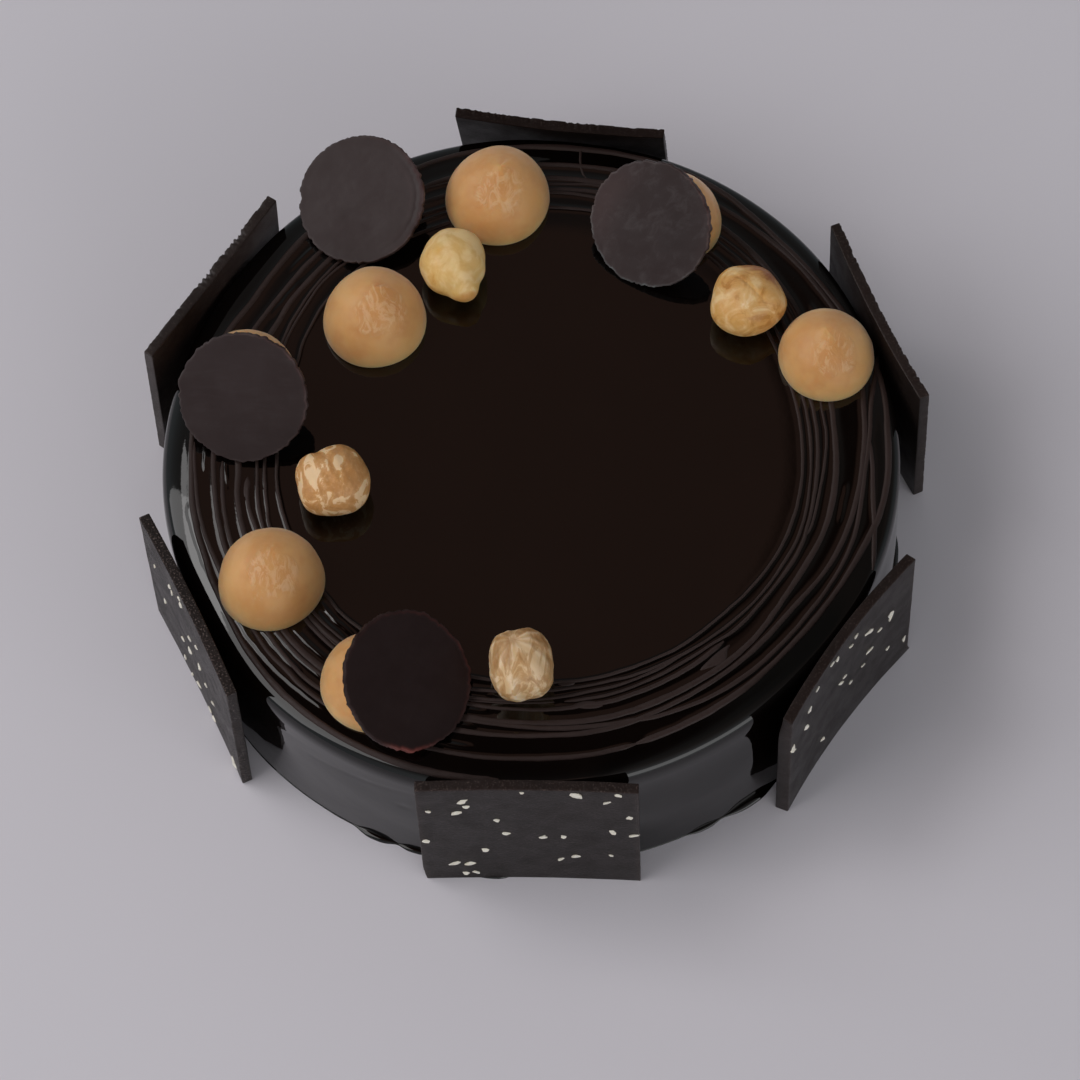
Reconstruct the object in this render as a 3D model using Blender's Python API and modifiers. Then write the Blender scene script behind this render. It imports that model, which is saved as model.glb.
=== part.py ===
"""Round chocolate cake with a mirror glaze, piped caramel domes, chocolate
discs, whole hazelnuts and six upright chocolate plaques round its side.

Units are metres, +Z is up, and the origin is the centre of the flat base.
The cake's front is at -Y.  Angles round the cake are in degrees, counted
anticlockwise from +X as seen from above.
"""
import bpy
import bmesh
import math

# ---------------------------------------------------------------- dimensions
CAKE_RADIUS = 0.090        # an 18 cm ring
CAKE_HEIGHT = 0.045
SHOULDER = 0.0042          # radius of the glaze's rounded top edge
BASE_ROUND = 0.0010        # small round where the side meets the base
PRESS_DEPTH = 0.0007       # the glaze is pressed flat behind each plaque
PRESS_WIDTH = 0.0170       # how far round the side the pressed patch fades
GAP = 0.0003               # clearance between pieces that touch

DOME_STEPS = 24            # facets round a dome
DOME_RINGS = 10
DOME_WAIST = 0.0011        # height of a dome's widest ring
DOME_FOOT = 0.94           # foot radius as a share of the widest radius
DOME_CROWN = 1.8           # 2.0 is a half ellipsoid, less is more pointed
DOME_PEAK = 0.07           # soft peak, as a share of the height

DISC_THICKNESS = 0.0016
DISC_STEPS = 36
DISC_EDGE = 0.0003

PLAQUE_LENGTH = 0.0524
PLAQUE_HEIGHT = 0.0518
PLAQUE_THICKNESS = 0.0028
PLAQUE_EDGE = 0.00025
PLAQUE_COLUMNS = 10

# open domes: name, x, y, widest radius, height, how far the peak leans (x, y)
OPEN_DOMES = (
    ("dome_1", -0.0043, 0.0704, 0.0130, 0.0155, 0.0010, 0.0004),
    ("dome_2", -0.0361, 0.0381, 0.0128, 0.0160, 0.0008, 0.0005),
    ("dome_3", 0.0735, 0.0206, 0.0118, 0.0137, -0.0003, 0.0006),
    ("dome_4", -0.0636, -0.0312, 0.01275, 0.0157, 0.0008, 0.0007),
)
# a covered dome carries a disc: dome name, x, y, radius, then the disc's
# name, x and y of its upper face's centre, radius, tilt, and the direction
# that it slopes down to
DISC_PAIRS = (
    ("dome_5", 0.0383, 0.0615, 0.0125, "disc_1", 0.0326, 0.0544, 0.0158, 44.5, -127.0),
    ("dome_6", -0.0682, 0.0240, 0.0125, "disc_2", -0.0685, 0.0136, 0.0159, 39.5, -108.0),
    ("dome_7", -0.0404, -0.0593, 0.0125, "disc_3", -0.0316, -0.0638, 0.0166, 36.0, -35.0),
    ("dome_8", -0.0345, 0.0695, 0.0092, "disc_4", -0.0380, 0.0690, 0.0161, 22.0, -128.0),
)
# hazelnuts: name, x, y, half width, half length, half height, heading of the
# pointed end, how far the point stands out, depth of the lengthwise lobes
HAZELNUTS = (
    ("hazelnut_1", -0.0159, 0.0496, 0.0080, 0.0092, 0.0077, -72.0, 0.13, 0.030),
    ("hazelnut_2", 0.0551, 0.0341, 0.0092, 0.0089, 0.0078, -150.0, 0.05, 0.035),
    ("hazelnut_3", -0.0476, -0.0084, 0.0090, 0.0087, 0.0078, -60.0, 0.03, 0.045),
    ("hazelnut_4", -0.0050, -0.0598, 0.0080, 0.0091, 0.0078, -95.0, 0.05, 0.040),
)
# plaques: name, direction of the foot, facing direction, distance of the
# inner face at mid length, inward lean, sag of the bow, extra height
PLAQUES = (
    ("plaque_1", -93.4, -94.4, 0.09010, 0.6, 0.0006, 0.012),
    ("plaque_2", -38.5, -38.5, 0.08985, 0.0, 0.0018, 0.000),
    ("plaque_3", 18.6, 19.8, 0.09015, 0.7, 0.0010, 0.015),
    ("plaque_4", 81.8, 79.4, 0.09995, 14.0, 0.0009, 0.000),
    ("plaque_5", 146.3, 142.9, 0.09072, 1.5, 0.0001, 0.000),
    ("plaque_6", -155.2, -157.8, 0.09010, 0.3, 0.0006, 0.000),
)


# ------------------------------------------------------------------- helpers
def empty_scene():
    for obj in list(bpy.data.objects):
        bpy.data.objects.remove(obj, do_unlink=True)


def collection(name):
    made = bpy.data.collections.new(name)
    bpy.context.scene.collection.children.link(made)
    return made


def material(name, colour, roughness, coat=0.0):
    made = bpy.data.materials.new(name)
    made.use_nodes = True
    shader = made.node_tree.nodes["Principled BSDF"]
    shader.inputs["Base Color"].default_value = (*colour, 1.0)
    shader.inputs["Roughness"].default_value = roughness
    shader.inputs["Metallic"].default_value = 0.0
    shader.inputs["Coat Weight"].default_value = coat
    made.diffuse_color = (*colour, 1.0)
    return made


def finish_mesh(bm, name, smooth_deg=None):
    bmesh.ops.recalc_face_normals(bm, faces=bm.faces[:])
    mesh = bpy.data.meshes.new(name)
    bm.to_mesh(mesh)
    bm.free()
    if smooth_deg is not None:
        mesh.shade_smooth()
        mesh.set_sharp_from_angle(angle=math.radians(smooth_deg))
    return mesh


def place(name, mesh, mat, where, location=(0, 0, 0), rotation=(0, 0, 0)):
    obj = bpy.data.objects.new(name, mesh)
    obj.location = location
    obj.rotation_euler = rotation
    mesh.materials.append(mat)
    where.objects.link(obj)
    return obj


def bevel(obj, width):
    mod = obj.modifiers.new("edge", "BEVEL")
    mod.width = width
    mod.segments = 1
    mod.limit_method = "ANGLE"
    mod.angle_limit = math.radians(40)


def ripple(angle, seed, parts):
    """Sum of small waves round a circle; parts are (waves, size)."""
    return sum(size * math.sin(n * angle + seed * (1.7 + 0.9 * n)) for n, size in parts)


# ---------------------------------------------------------------- cake body
def cake_profile():
    """Half outline from the top of the axis down the outer side."""
    r, h, s, b = CAKE_RADIUS, CAKE_HEIGHT, SHOULDER, BASE_ROUND
    points = [(0.0, h), (0.6 * r, h)]
    steps = 6
    for i in range(steps + 1):
        a = math.radians(90.0 * (1.0 - i / steps))
        points.append((r - s + s * math.cos(a), h - s + s * math.sin(a)))
    points.append((r, b))
    points.append((r - 0.3 * b, 0.3 * b))
    points.append((r - b, 0.0))
    points.append((0.0, 0.0))
    return points


def turned(name, profile, steps, mat, where):
    bm = bmesh.new()
    verts = [bm.verts.new((x, 0.0, z)) for x, z in profile]
    for a, b in zip(verts, verts[1:]):
        bm.edges.new((a, b))
    mesh = bpy.data.meshes.new(name)
    bm.to_mesh(mesh)
    bm.free()
    obj = place(name, mesh, mat, where)
    screw = obj.modifiers.new("turn", "SCREW")
    screw.axis = "Z"
    screw.steps = steps
    screw.render_steps = steps
    screw.use_merge_vertices = True
    screw.merge_threshold = 0.00001
    screw.use_smooth_shade = True
    return obj


def press_side(obj):
    """Flatten the glazed side a little behind every plaque."""
    graph = bpy.context.evaluated_depsgraph_get()
    mesh = bpy.data.meshes.new_from_object(obj.evaluated_get(graph))
    obj.modifiers.clear()
    obj.data = mesh
    rim = CAKE_RADIUS - SHOULDER
    for v in mesh.vertices:
        r = math.hypot(v.co.x, v.co.y)
        if r < 0.7 * rim:
            continue
        turn = math.atan2(v.co.y, v.co.x)
        depth = 0.0
        for plaque_row in PLAQUES:
            gap = turn - math.radians(plaque_row[2])
            arc = CAKE_RADIUS * math.atan2(math.sin(gap), math.cos(gap))
            depth += PRESS_DEPTH * math.exp(-(arc / PRESS_WIDTH) ** 2)
        v.co.x -= depth * math.cos(turn)
        v.co.y -= depth * math.sin(turn)


# -------------------------------------------------------------------- domes
def dome_section(radius, height, peak=DOME_PEAK):
    """(radius, height) pairs from the peak to the middle of the foot."""
    section = []
    turn = 0.72                                    # share of rings above the waist
    for i in range(DOME_RINGS + 1):
        f = i / DOME_RINGS
        if f <= turn:
            a = f / turn * math.pi / 2
            r = radius * math.sin(a)
            z = DOME_WAIST + (height - DOME_WAIST) * math.cos(a) ** (2.0 / DOME_CROWN)
            near = max(0.0, 1.0 - r / (0.45 * radius))
            z += peak * height * near * near
        else:
            g = (f - turn) / (1.0 - turn)          # 0 at the waist, 1 at the middle
            r = radius * (DOME_FOOT if g < 0.5 else DOME_FOOT * 2.0 * (1.0 - g))
            z = 0.0
        section.append((r, z))
    return section


def dome(name, x, y, radius, height, lean_x, lean_y, seed, mat, where, peak=DOME_PEAK):
    section = dome_section(radius, height, peak)
    bm = bmesh.new()
    bmesh.ops.create_uvsphere(bm, u_segments=DOME_STEPS, v_segments=DOME_RINGS, radius=1.0)
    for v in bm.verts:
        polar = math.acos(max(-1.0, min(1.0, v.co.z)))
        ring = int(round(polar / math.pi * DOME_RINGS))
        turn = math.atan2(v.co.y, v.co.x)
        r, z = section[ring]
        r *= 1.0 + ripple(turn, seed, ((2, 0.012), (3, 0.008)))
        up = (z / height) ** 2
        v.co = (r * math.cos(turn) + lean_x * up, r * math.sin(turn) + lean_y * up, z)
    mesh = finish_mesh(bm, name, 60)
    return place(name, mesh, mat, where, (x, y, CAKE_HEIGHT + GAP))


def reach(section, tilt):
    """Furthest a dome reaches along a direction tilted from the vertical."""
    s, c = math.sin(tilt), math.cos(tilt)
    return max(r * s + z * c for r, z in section)


def pressed_height(radius, tilt, distance):
    """Height at which a dome just carries a plane at this distance."""
    low, high = 0.004, 0.020
    for _ in range(40):
        mid = 0.5 * (low + high)
        if reach(dome_section(radius * 1.02, mid, 0.0), tilt) > distance:
            high = mid
        else:
            low = mid
    return low


# -------------------------------------------------------------------- discs
def disc(name, x, y, radius, tilt, slope, seed, mat, where):
    """A thin disc with its lowest rim on the cake; returns centre and normal."""
    t, a = math.radians(tilt), math.radians(slope)
    normal = (math.sin(t) * math.cos(a), math.sin(t) * math.sin(a), math.cos(t))
    half = DISC_THICKNESS / 2.0
    bm = bmesh.new()
    bmesh.ops.create_cone(bm, cap_ends=True, segments=DISC_STEPS, radius1=1.0,
                          radius2=1.0, depth=DISC_THICKNESS)
    for v in bm.verts:
        turn = math.atan2(v.co.y, v.co.x)
        r = radius * (1.0 + ripple(turn, seed, ((2, 0.004), (5, 0.003), (11, 0.003))))
        v.co.x, v.co.y = r * math.cos(turn), r * math.sin(turn)
    lowest = min(v.co.z * math.cos(t) - v.co.x * math.sin(t) for v in bm.verts)
    centre = (x - half * normal[0], y - half * normal[1], CAKE_HEIGHT + GAP - lowest)
    mesh = finish_mesh(bm, name)
    obj = place(name, mesh, mat, where, centre, (0.0, t, a))
    bevel(obj, DISC_EDGE)
    return centre, normal


# ---------------------------------------------------------------- hazelnuts
def hazelnut(name, x, y, wide, long, tall, heading, point, lobes, seed, mat, where):
    """A plump nut lying down: its point along local +X, flat spot below."""
    bm = bmesh.new()
    bmesh.ops.create_uvsphere(bm, u_segments=18, v_segments=10, radius=1.0)
    # the sphere's poles become the nut's two ends
    for v in bm.verts:
        end, side, up = v.co.z, v.co.x, v.co.y
        turn = math.atan2(up, side)
        belly = 1.0 - end * end
        swell = 1.0 + belly * (lobes * math.cos(5 * turn + seed) + 0.6 * lobes * math.sin(3 * turn + 2 * seed))
        taper = 1.0 - 0.10 * end
        tip = point * max(0.0, (end - 0.75) / 0.25) ** 1.5
        px = (end + tip) * long
        py = side * swell * taper * wide
        pz = up * swell * taper * tall
        pz = max(pz, -0.93 * tall)
        v.co = (px, py, pz)
    mesh = finish_mesh(bm, name, 80)
    return place(name, mesh, mat, where,
                 (x, y, CAKE_HEIGHT + GAP + 0.93 * tall), (0.0, 0.0, math.radians(heading)))


# ------------------------------------------------------------------ plaques
def plaque(name, foot_deg, face_deg, inner, lean, sag, extra, seed, mat, where):
    """A gently bowed slab standing on its lower edge, leaning on the cake."""
    t = math.radians(lean)
    height = PLAQUE_HEIGHT * (1.0 + extra)
    bm = bmesh.new()
    bmesh.ops.create_grid(bm, x_segments=PLAQUE_COLUMNS, y_segments=2, size=1.0)
    for v in bm.verts:
        along, up = v.co.x, 0.5 * (v.co.y + 1.0)
        ragged = 0.00025 * ripple(6.0 * along, seed, ((2, 0.6), (5, 0.4))) if up > 0.9 else 0.0
        v.co = (sag * along * along, along * PLAQUE_LENGTH / 2, up * height + ragged)
    for f in bm.faces:
        f.normal_update()
    mesh = bpy.data.meshes.new(name)
    bm.to_mesh(mesh)
    bm.free()
    turn = math.radians(face_deg)
    foot = math.radians(foot_deg)
    # the slab's middle layer stands half a thickness outside its inner face
    reach_out = (inner + 0.5 * PLAQUE_THICKNESS * math.cos(t)) / math.cos(foot - turn)
    where_at = (reach_out * math.cos(foot), reach_out * math.sin(foot),
                0.5 * PLAQUE_THICKNESS * math.sin(t))
    obj = place(name, mesh, mat, where, where_at, (0.0, -t, turn))
    solid = obj.modifiers.new("thickness", "SOLIDIFY")
    solid.thickness = PLAQUE_THICKNESS
    solid.offset = 0.0
    solid.use_even_offset = True
    bevel(obj, PLAQUE_EDGE)
    return obj


# --------------------------------------------------------------------- build
def build():
    empty_scene()
    parts = collection("chocolate_cake")
    glaze = material("glaze", (0.020, 0.012, 0.009), 0.08, 1.0)
    caramel = material("caramel", (0.52, 0.30, 0.13), 0.38, 0.2)
    chocolate = material("disc_chocolate", (0.055, 0.036, 0.034), 0.45)
    nut = material("hazelnut", (0.62, 0.42, 0.20), 0.50)
    dark = material("plaque_chocolate", (0.036, 0.028, 0.026), 0.40)

    press_side(turned("cake_body", cake_profile(), 96, glaze, parts))

    for i, (name, x, y, radius, height, lx, ly) in enumerate(OPEN_DOMES):
        dome(name, x, y, radius, height, lx, ly, 1.0 + i, caramel, parts)

    for i, (dname, dx, dy, dr, name, x, y, radius, tilt, slope) in enumerate(DISC_PAIRS):
        centre, normal = disc(name, x, y, radius, tilt, slope, 5.0 + 2 * i, chocolate, parts)
        under = [c - 0.5 * DISC_THICKNESS * n for c, n in zip(centre, normal)]
        foot = (dx, dy, CAKE_HEIGHT + GAP)
        distance = sum((u - f) * n for u, f, n in zip(under, foot, normal)) - GAP
        height = pressed_height(dr, math.radians(tilt), distance)
        dome(dname, dx, dy, dr, height, 0.0, 0.0, 11.0 + i, caramel, parts, peak=0.0)

    for i, (name, x, y, wide, long, tall, heading, point, lobes) in enumerate(HAZELNUTS):
        hazelnut(name, x, y, wide, long, tall, heading, point, lobes, 0.7 + 1.3 * i, nut, parts)

    for i, (name, foot, face, inner, lean, sag, extra) in enumerate(PLAQUES):
        plaque(name, foot, face, inner, lean, sag, extra, 2.0 + i, dark, parts)


build()
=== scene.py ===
"""Looks for the round chocolate cake: mirror glaze, combed chocolate threads,
caramel domes, chocolate discs, hazelnuts and flaked plaques.

Everything is in metres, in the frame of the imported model.
"""

import math

import bpy
import numpy as np
from mathutils import Matrix, Vector, noise


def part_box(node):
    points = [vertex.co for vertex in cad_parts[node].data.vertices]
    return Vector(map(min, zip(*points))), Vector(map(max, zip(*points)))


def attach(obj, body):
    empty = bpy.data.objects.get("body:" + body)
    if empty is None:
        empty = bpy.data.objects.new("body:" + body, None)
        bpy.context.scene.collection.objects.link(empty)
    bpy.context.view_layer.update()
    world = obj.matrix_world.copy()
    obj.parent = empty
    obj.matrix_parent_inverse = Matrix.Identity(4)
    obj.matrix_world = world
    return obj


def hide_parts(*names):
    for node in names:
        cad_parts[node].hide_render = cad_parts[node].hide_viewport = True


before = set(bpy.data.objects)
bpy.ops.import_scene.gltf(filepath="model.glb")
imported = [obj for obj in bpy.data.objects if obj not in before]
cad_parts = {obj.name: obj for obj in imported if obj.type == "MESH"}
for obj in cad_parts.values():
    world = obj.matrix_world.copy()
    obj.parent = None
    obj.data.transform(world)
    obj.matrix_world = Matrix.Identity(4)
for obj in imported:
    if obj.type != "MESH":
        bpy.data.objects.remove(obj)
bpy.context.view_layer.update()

MM = 0.001
body_low, body_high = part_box("cake_body")
HEIGHT = body_high[2]                       # top of the glaze
RADIUS = 0.0900
SHOULDER = 0.0042
PRESS_DEPTH, PRESS_WIDTH = 0.0007, 0.0170
PLAQUE_L, PLAQUE_H, PLAQUE_T = 0.0524, 0.0518, 0.0028
COL = bpy.context.scene.collection

# name: foot angle, facing angle, inner face distance, lean, sag, extra height
PLAQUES = {
    "plaque_1": (-93.4, -94.4, 0.09010, 0.6, 0.0006, 0.012),
    "plaque_2": (-38.5, -38.5, 0.08985, 0.0, 0.0018, 0.000),
    "plaque_3": (18.6, 19.8, 0.09015, 0.7, 0.0010, 0.015),
    "plaque_4": (81.8, 79.4, 0.09995, 14.0, 0.0009, 0.000),
    "plaque_5": (146.3, 142.9, 0.09072, 1.5, 0.0001, 0.000),
    "plaque_6": (-155.2, -157.8, 0.09010, 0.3, 0.0006, 0.000),
}
DISCS = {
    "disc_1": (0.0326, 0.0544, 0.0158, 44.5, -127.0),
    "disc_2": (-0.0685, 0.0136, 0.0159, 39.5, -108.0),
    "disc_3": (-0.0316, -0.0638, 0.0166, 36.0, -35.0),
    "disc_4": (-0.0380, 0.0690, 0.0161, 22.0, -128.0),
}
DISC_T = 0.0016


# ------------------------------------------------------------------ numbers
def rng(seed):
    return np.random.default_rng(seed)


def fbm(x, y, z, octaves=3):
    """Smooth noise near -1..1 at a point given in noise units."""
    return noise.fractal(Vector((x, y, z)), 1.0, 2.0, octaves)


def spline(points, count):
    """Smooth curve through (angle, radius) points, evenly spaced in angle."""
    xs = np.array([p[0] for p in points], float)
    ys = np.array([p[1] for p in points], float)
    slopes = np.zeros_like(ys)
    slopes[1:-1] = (ys[2:] - ys[:-2]) / (xs[2:] - xs[:-2])
    slopes[0] = (ys[1] - ys[0]) / (xs[1] - xs[0])
    slopes[-1] = (ys[-1] - ys[-2]) / (xs[-1] - xs[-2])
    grid = np.linspace(xs[0], xs[-1], count)
    k = np.clip(np.searchsorted(xs, grid, side="right") - 1, 0, len(xs) - 2)
    h = xs[k + 1] - xs[k]
    t = (grid - xs[k]) / h
    value = ((2 * t**3 - 3 * t**2 + 1) * ys[k] + (t**3 - 2 * t**2 + t) * h * slopes[k]
             + (-2 * t**3 + 3 * t**2) * ys[k + 1] + (t**3 - t**2) * h * slopes[k + 1])
    return grid, value


# ------------------------------------------------------------------- meshes
def make(name, verts, faces, material, smooth=True, tints=None):
    mesh = bpy.data.meshes.new(name)
    mesh.from_pydata([tuple(v) for v in verts], [], faces)
    mesh.update()
    if smooth:
        mesh.shade_smooth()
    if tints is not None:
        layer = mesh.color_attributes.new("tint", "FLOAT_COLOR", "POINT")
        data = np.ones((len(verts), 4), np.float32)
        data[:, :3] = np.asarray(tints, np.float32)
        layer.data.foreach_set("color", data.ravel())
    mesh.materials.append(material)
    obj = bpy.data.objects.new(name, mesh)
    COL.objects.link(obj)
    return obj


def piece(obj, slot, *nodes):
    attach(obj, "root")
    if nodes:
        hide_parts(*nodes)
    return obj


def grid_faces(rows, cols, closed=False, flip=False, start=0):
    faces = []
    last = cols if closed else cols - 1
    for i in range(rows - 1):
        for j in range(last):
            a = start + i * cols + j
            b = start + i * cols + (j + 1) % cols
            c, d = b + cols, a + cols
            faces.append((a, d, c, b) if flip else (a, b, c, d))
    return faces


# ---------------------------------------------------------------- materials
class Shader:
    """Small helper round a material's node tree."""

    def __init__(self, name, colour, roughness, **extra):
        self.mat = bpy.data.materials.new(name)
        self.mat.use_nodes = True
        self.tree = self.mat.node_tree
        self.bsdf = self.tree.nodes["Principled BSDF"]
        self.set("Base Color", (*colour, 1.0))
        self.set("Roughness", roughness)
        for key, value in extra.items():
            self.set(key.replace("_", " ").title().replace("Ior", "IOR"), value)
        self.coords = self.tree.nodes.new("ShaderNodeTexCoord")

    def set(self, socket, value):
        self.bsdf.inputs[socket].default_value = value

    def link(self, a, b):
        self.tree.links.new(a, b)

    def node(self, kind, **props):
        made = self.tree.nodes.new(kind)
        for key, value in props.items():
            setattr(made, key, value)
        return made

    def where(self, scale=(1, 1, 1), rotate=(0, 0, 0), move=(0, 0, 0)):
        mapping = self.node("ShaderNodeMapping")
        mapping.inputs["Scale"].default_value = scale
        mapping.inputs["Rotation"].default_value = rotate
        mapping.inputs["Location"].default_value = move
        self.link(self.coords.outputs["Object"], mapping.inputs["Vector"])
        return mapping.outputs["Vector"]

    def noise(self, scale, detail=3.0, rough=0.55, distort=0.0, vector=None):
        made = self.node("ShaderNodeTexNoise")
        made.inputs["Scale"].default_value = scale
        made.inputs["Detail"].default_value = detail
        made.inputs["Roughness"].default_value = rough
        made.inputs["Distortion"].default_value = distort
        self.link(vector if vector is not None else self.coords.outputs["Object"], made.inputs["Vector"])
        return made.outputs["Fac"]

    def voronoi(self, scale, vector=None, feature="F1"):
        made = self.node("ShaderNodeTexVoronoi", feature=feature)
        made.inputs["Scale"].default_value = scale
        self.link(vector if vector is not None else self.coords.outputs["Object"], made.inputs["Vector"])
        return made.outputs["Distance"]

    def ramp(self, fac, stops, smooth=True):
        made = self.node("ShaderNodeValToRGB")
        made.color_ramp.interpolation = "EASE" if smooth else "LINEAR"
        band = made.color_ramp.elements
        while len(band) < len(stops):
            band.new(0.5)
        for element, (pos, value) in zip(band, stops):
            element.position = pos
            element.color = (*value, 1.0) if isinstance(value, tuple) else (value, value, value, 1.0)
        self.link(fac, made.inputs["Fac"])
        return made.outputs["Color"]

    def mix(self, fac, a, b, mode="MIX"):
        made = self.node("ShaderNodeMix", data_type="RGBA", blend_type=mode)
        for value, socket in ((fac, made.inputs[0]), (a, made.inputs[6]), (b, made.inputs[7])):
            if hasattr(value, "is_linked") or hasattr(value, "links"):
                self.link(value, socket)
            else:
                socket.default_value = (*value, 1.0) if isinstance(value, tuple) else value
        return made.outputs[2]

    def math(self, kind, a, b=0.0, clamp=False):
        made = self.node("ShaderNodeMath", operation=kind, use_clamp=clamp)
        for value, socket in ((a, made.inputs[0]), (b, made.inputs[1])):
            if hasattr(value, "links"):
                self.link(value, socket)
            else:
                socket.default_value = value
        return made.outputs[0]

    def tint(self):
        made = self.node("ShaderNodeAttribute", attribute_name="tint")
        return made.outputs["Color"]

    def bump(self, height, distance, strength=1.0, normal=None):
        made = self.node("ShaderNodeBump")
        made.inputs["Distance"].default_value = distance
        made.inputs["Strength"].default_value = strength
        self.link(height, made.inputs["Height"])
        if normal is not None:
            self.link(normal, made.inputs["Normal"])
        self.link(made.outputs["Normal"], self.bsdf.inputs["Normal"])
        return made.outputs["Normal"]

    def colour(self, output):
        self.link(output, self.bsdf.inputs["Base Color"])

    def rough(self, output):
        self.link(output, self.bsdf.inputs["Roughness"])


def glaze_material():
    s = Shader("mirror_glaze", (0.0018, 0.0010, 0.0008), 0.05, ior=1.5)
    blotch = s.noise(35.0, 3.0)
    s.colour(s.ramp(blotch, [(0.35, (0.0016, 0.0009, 0.0007)), (0.65, (0.0022, 0.0012, 0.0009))]))
    s.rough(s.ramp(s.noise(120.0, 4.0), [(0.4, 0.030), (0.7, 0.065)]))
    s.bump(s.noise(230.0, 3.0, 0.6), 0.000018, 0.6)
    return s.mat


def thread_material():
    s = Shader("thread_chocolate", (0.026, 0.017, 0.0155), 0.5, ior=1.45)
    s.set("Specular IOR Level", 0.28)
    fine = s.noise(900.0, 4.0)
    wide = s.noise(70.0, 2.0)
    tone = s.mix(fine, (0.0255, 0.0150, 0.0130), (0.0335, 0.0205, 0.0180))
    s.colour(s.mix(s.ramp(wide, [(0.4, 0.0), (0.7, 0.5)]), tone, (0.036, 0.0215, 0.0195)))
    s.rough(s.ramp(fine, [(0.3, 0.42), (0.7, 0.60)]))
    s.bump(s.noise(1400.0, 3.0), 0.00006, 0.5)
    return s.mat


def caramel_material(name, seed, patch, stain):
    s = Shader(name, (0.58, 0.30, 0.105), 0.42, ior=1.45)
    s.set("Specular IOR Level", 0.40)
    s.set("Sheen Weight", 0.38)
    s.set("Sheen Roughness", 0.45)
    s.set("Sheen Tint", (1.0, 0.86, 0.74, 1.0))
    s.set("Subsurface Weight", 1.0)
    s.set("Subsurface Radius", (0.0100, 0.0060, 0.0038))
    s.set("Subsurface Scale", 1.0)
    move = (seed * 1.7, seed * 0.9, seed * 2.3)
    wide = s.noise(95.0, 3.0, vector=s.where((1, 1, 1), move=move))
    mottled = s.mix(s.ramp(wide, [(0.38, 0.0), (0.66, 1.0)]), (0.590, 0.305, 0.106), (0.660, 0.375, 0.146))
    tone = s.mix(s.ramp(s.noise(650.0, 4.0), [(0.45, 0.0), (0.8, 0.30)]), mottled, (0.66, 0.40, 0.19))
    # painted highlight: a paler cream patch where the satin skin, wrinkled as it set, catches the light; the wrinkles
    # are also bump
    far = s.node("ShaderNodeVectorMath", operation="DISTANCE")
    s.link(s.coords.outputs["Object"], far.inputs[0])
    far.inputs[1].default_value = patch[:3]
    spot = s.math("ADD", s.math("DIVIDE", far.outputs["Value"], patch[3]), s.math("MULTIPLY", wide, 0.8))
    inside = s.ramp(spot, [(0.85, 1.0), (1.60, 0.0)])
    creases = s.noise(300.0, 5.0, 0.62, 2.2, s.where((1.0, 0.55, 0.8), (0, 0, 0.35), move))
    painted_sheen_streaks = s.math("MULTIPLY", inside, s.ramp(creases, [(0.47, 0.0), (0.60, 1.0)]))
    tone = s.mix(s.math("MULTIPLY", painted_sheen_streaks, 0.42), tone, (0.76, 0.55, 0.34))
    # a darker toffee stain low on one side
    aside = s.node("ShaderNodeVectorMath", operation="DISTANCE")
    s.link(s.coords.outputs["Object"], aside.inputs[0])
    aside.inputs[1].default_value = stain[:3]
    near = s.math("ADD", s.math("DIVIDE", aside.outputs["Value"], stain[3]), s.math("MULTIPLY", creases, 0.9))
    s.colour(s.mix(s.ramp(near, [(0.60, 0.50), (1.15, 0.0)]), tone, (0.40, 0.185, 0.060)))
    s.rough(s.ramp(s.noise(260.0, 4.0), [(0.35, 0.36), (0.7, 0.50)]))
    skin = s.noise(420.0, 4.0, 0.55, 0.8, s.where((1, 1, 1), move=move))
    first = s.bump(skin, 0.00010, 0.35)
    s.bump(s.math("MULTIPLY", inside, creases), 0.00060, 0.60, first)
    return s.mat


def disc_material(name, scratch_deg, streaky, level, seed):
    s = Shader(name, (0.034 * level, 0.0185 * level, 0.0180 * level), 0.50, ior=1.45)
    s.set("Specular IOR Level", max(0.09, 0.33 * level - 0.01))
    fine = s.noise(420.0, 5.0, 0.6)
    wide = s.noise(75.0, 3.0, vector=s.where((1, 1, 1), move=(seed, 0, 0)))

    def shade(r, g, b):
        return (r * level, g * level, b * level)

    tone = s.mix(s.ramp(wide, [(0.35, 0.0), (0.7, 1.0)]), shade(0.0310, 0.0175, 0.0170), shade(0.0375, 0.0230, 0.0230))
    tone = s.mix(s.ramp(fine, [(0.5, 0.0), (0.8, 0.35)]), tone, shade(0.047, 0.032, 0.032))
    # scraped along one direction: turned first, then stretched
    turned = s.node("ShaderNodeMapping")
    turned.inputs["Scale"].default_value = (30.0, 420.0, 420.0)
    s.link(s.where(rotate=(0, 0, math.radians(-scratch_deg))), turned.inputs["Vector"])
    turned = turned.outputs["Vector"]
    streak = s.math("MULTIPLY", s.noise(1.0, 5.0, 0.65, 0.6, turned), s.ramp(s.noise(110.0, 4.0, 0.6), [(0.30, 0.75),
                                                                                                     (0.65, 1.15)]))
    tone = s.mix(s.ramp(streak, [(0.44, 0.0), (0.80, 0.75 * streaky)]), tone, shade(0.062, 0.047, 0.047))
    s.colour(s.mix(1.0, tone, s.tint(), "MULTIPLY"))
    s.rough(s.ramp(s.noise(150.0, 3.0), [(0.35, 0.44), (0.7, 0.54)]))
    first = s.bump(streak, 0.00002, 0.5 * streaky)
    s.bump(s.noise(260.0, 4.0), 0.00006, 0.4, first)
    return s.mat


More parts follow.
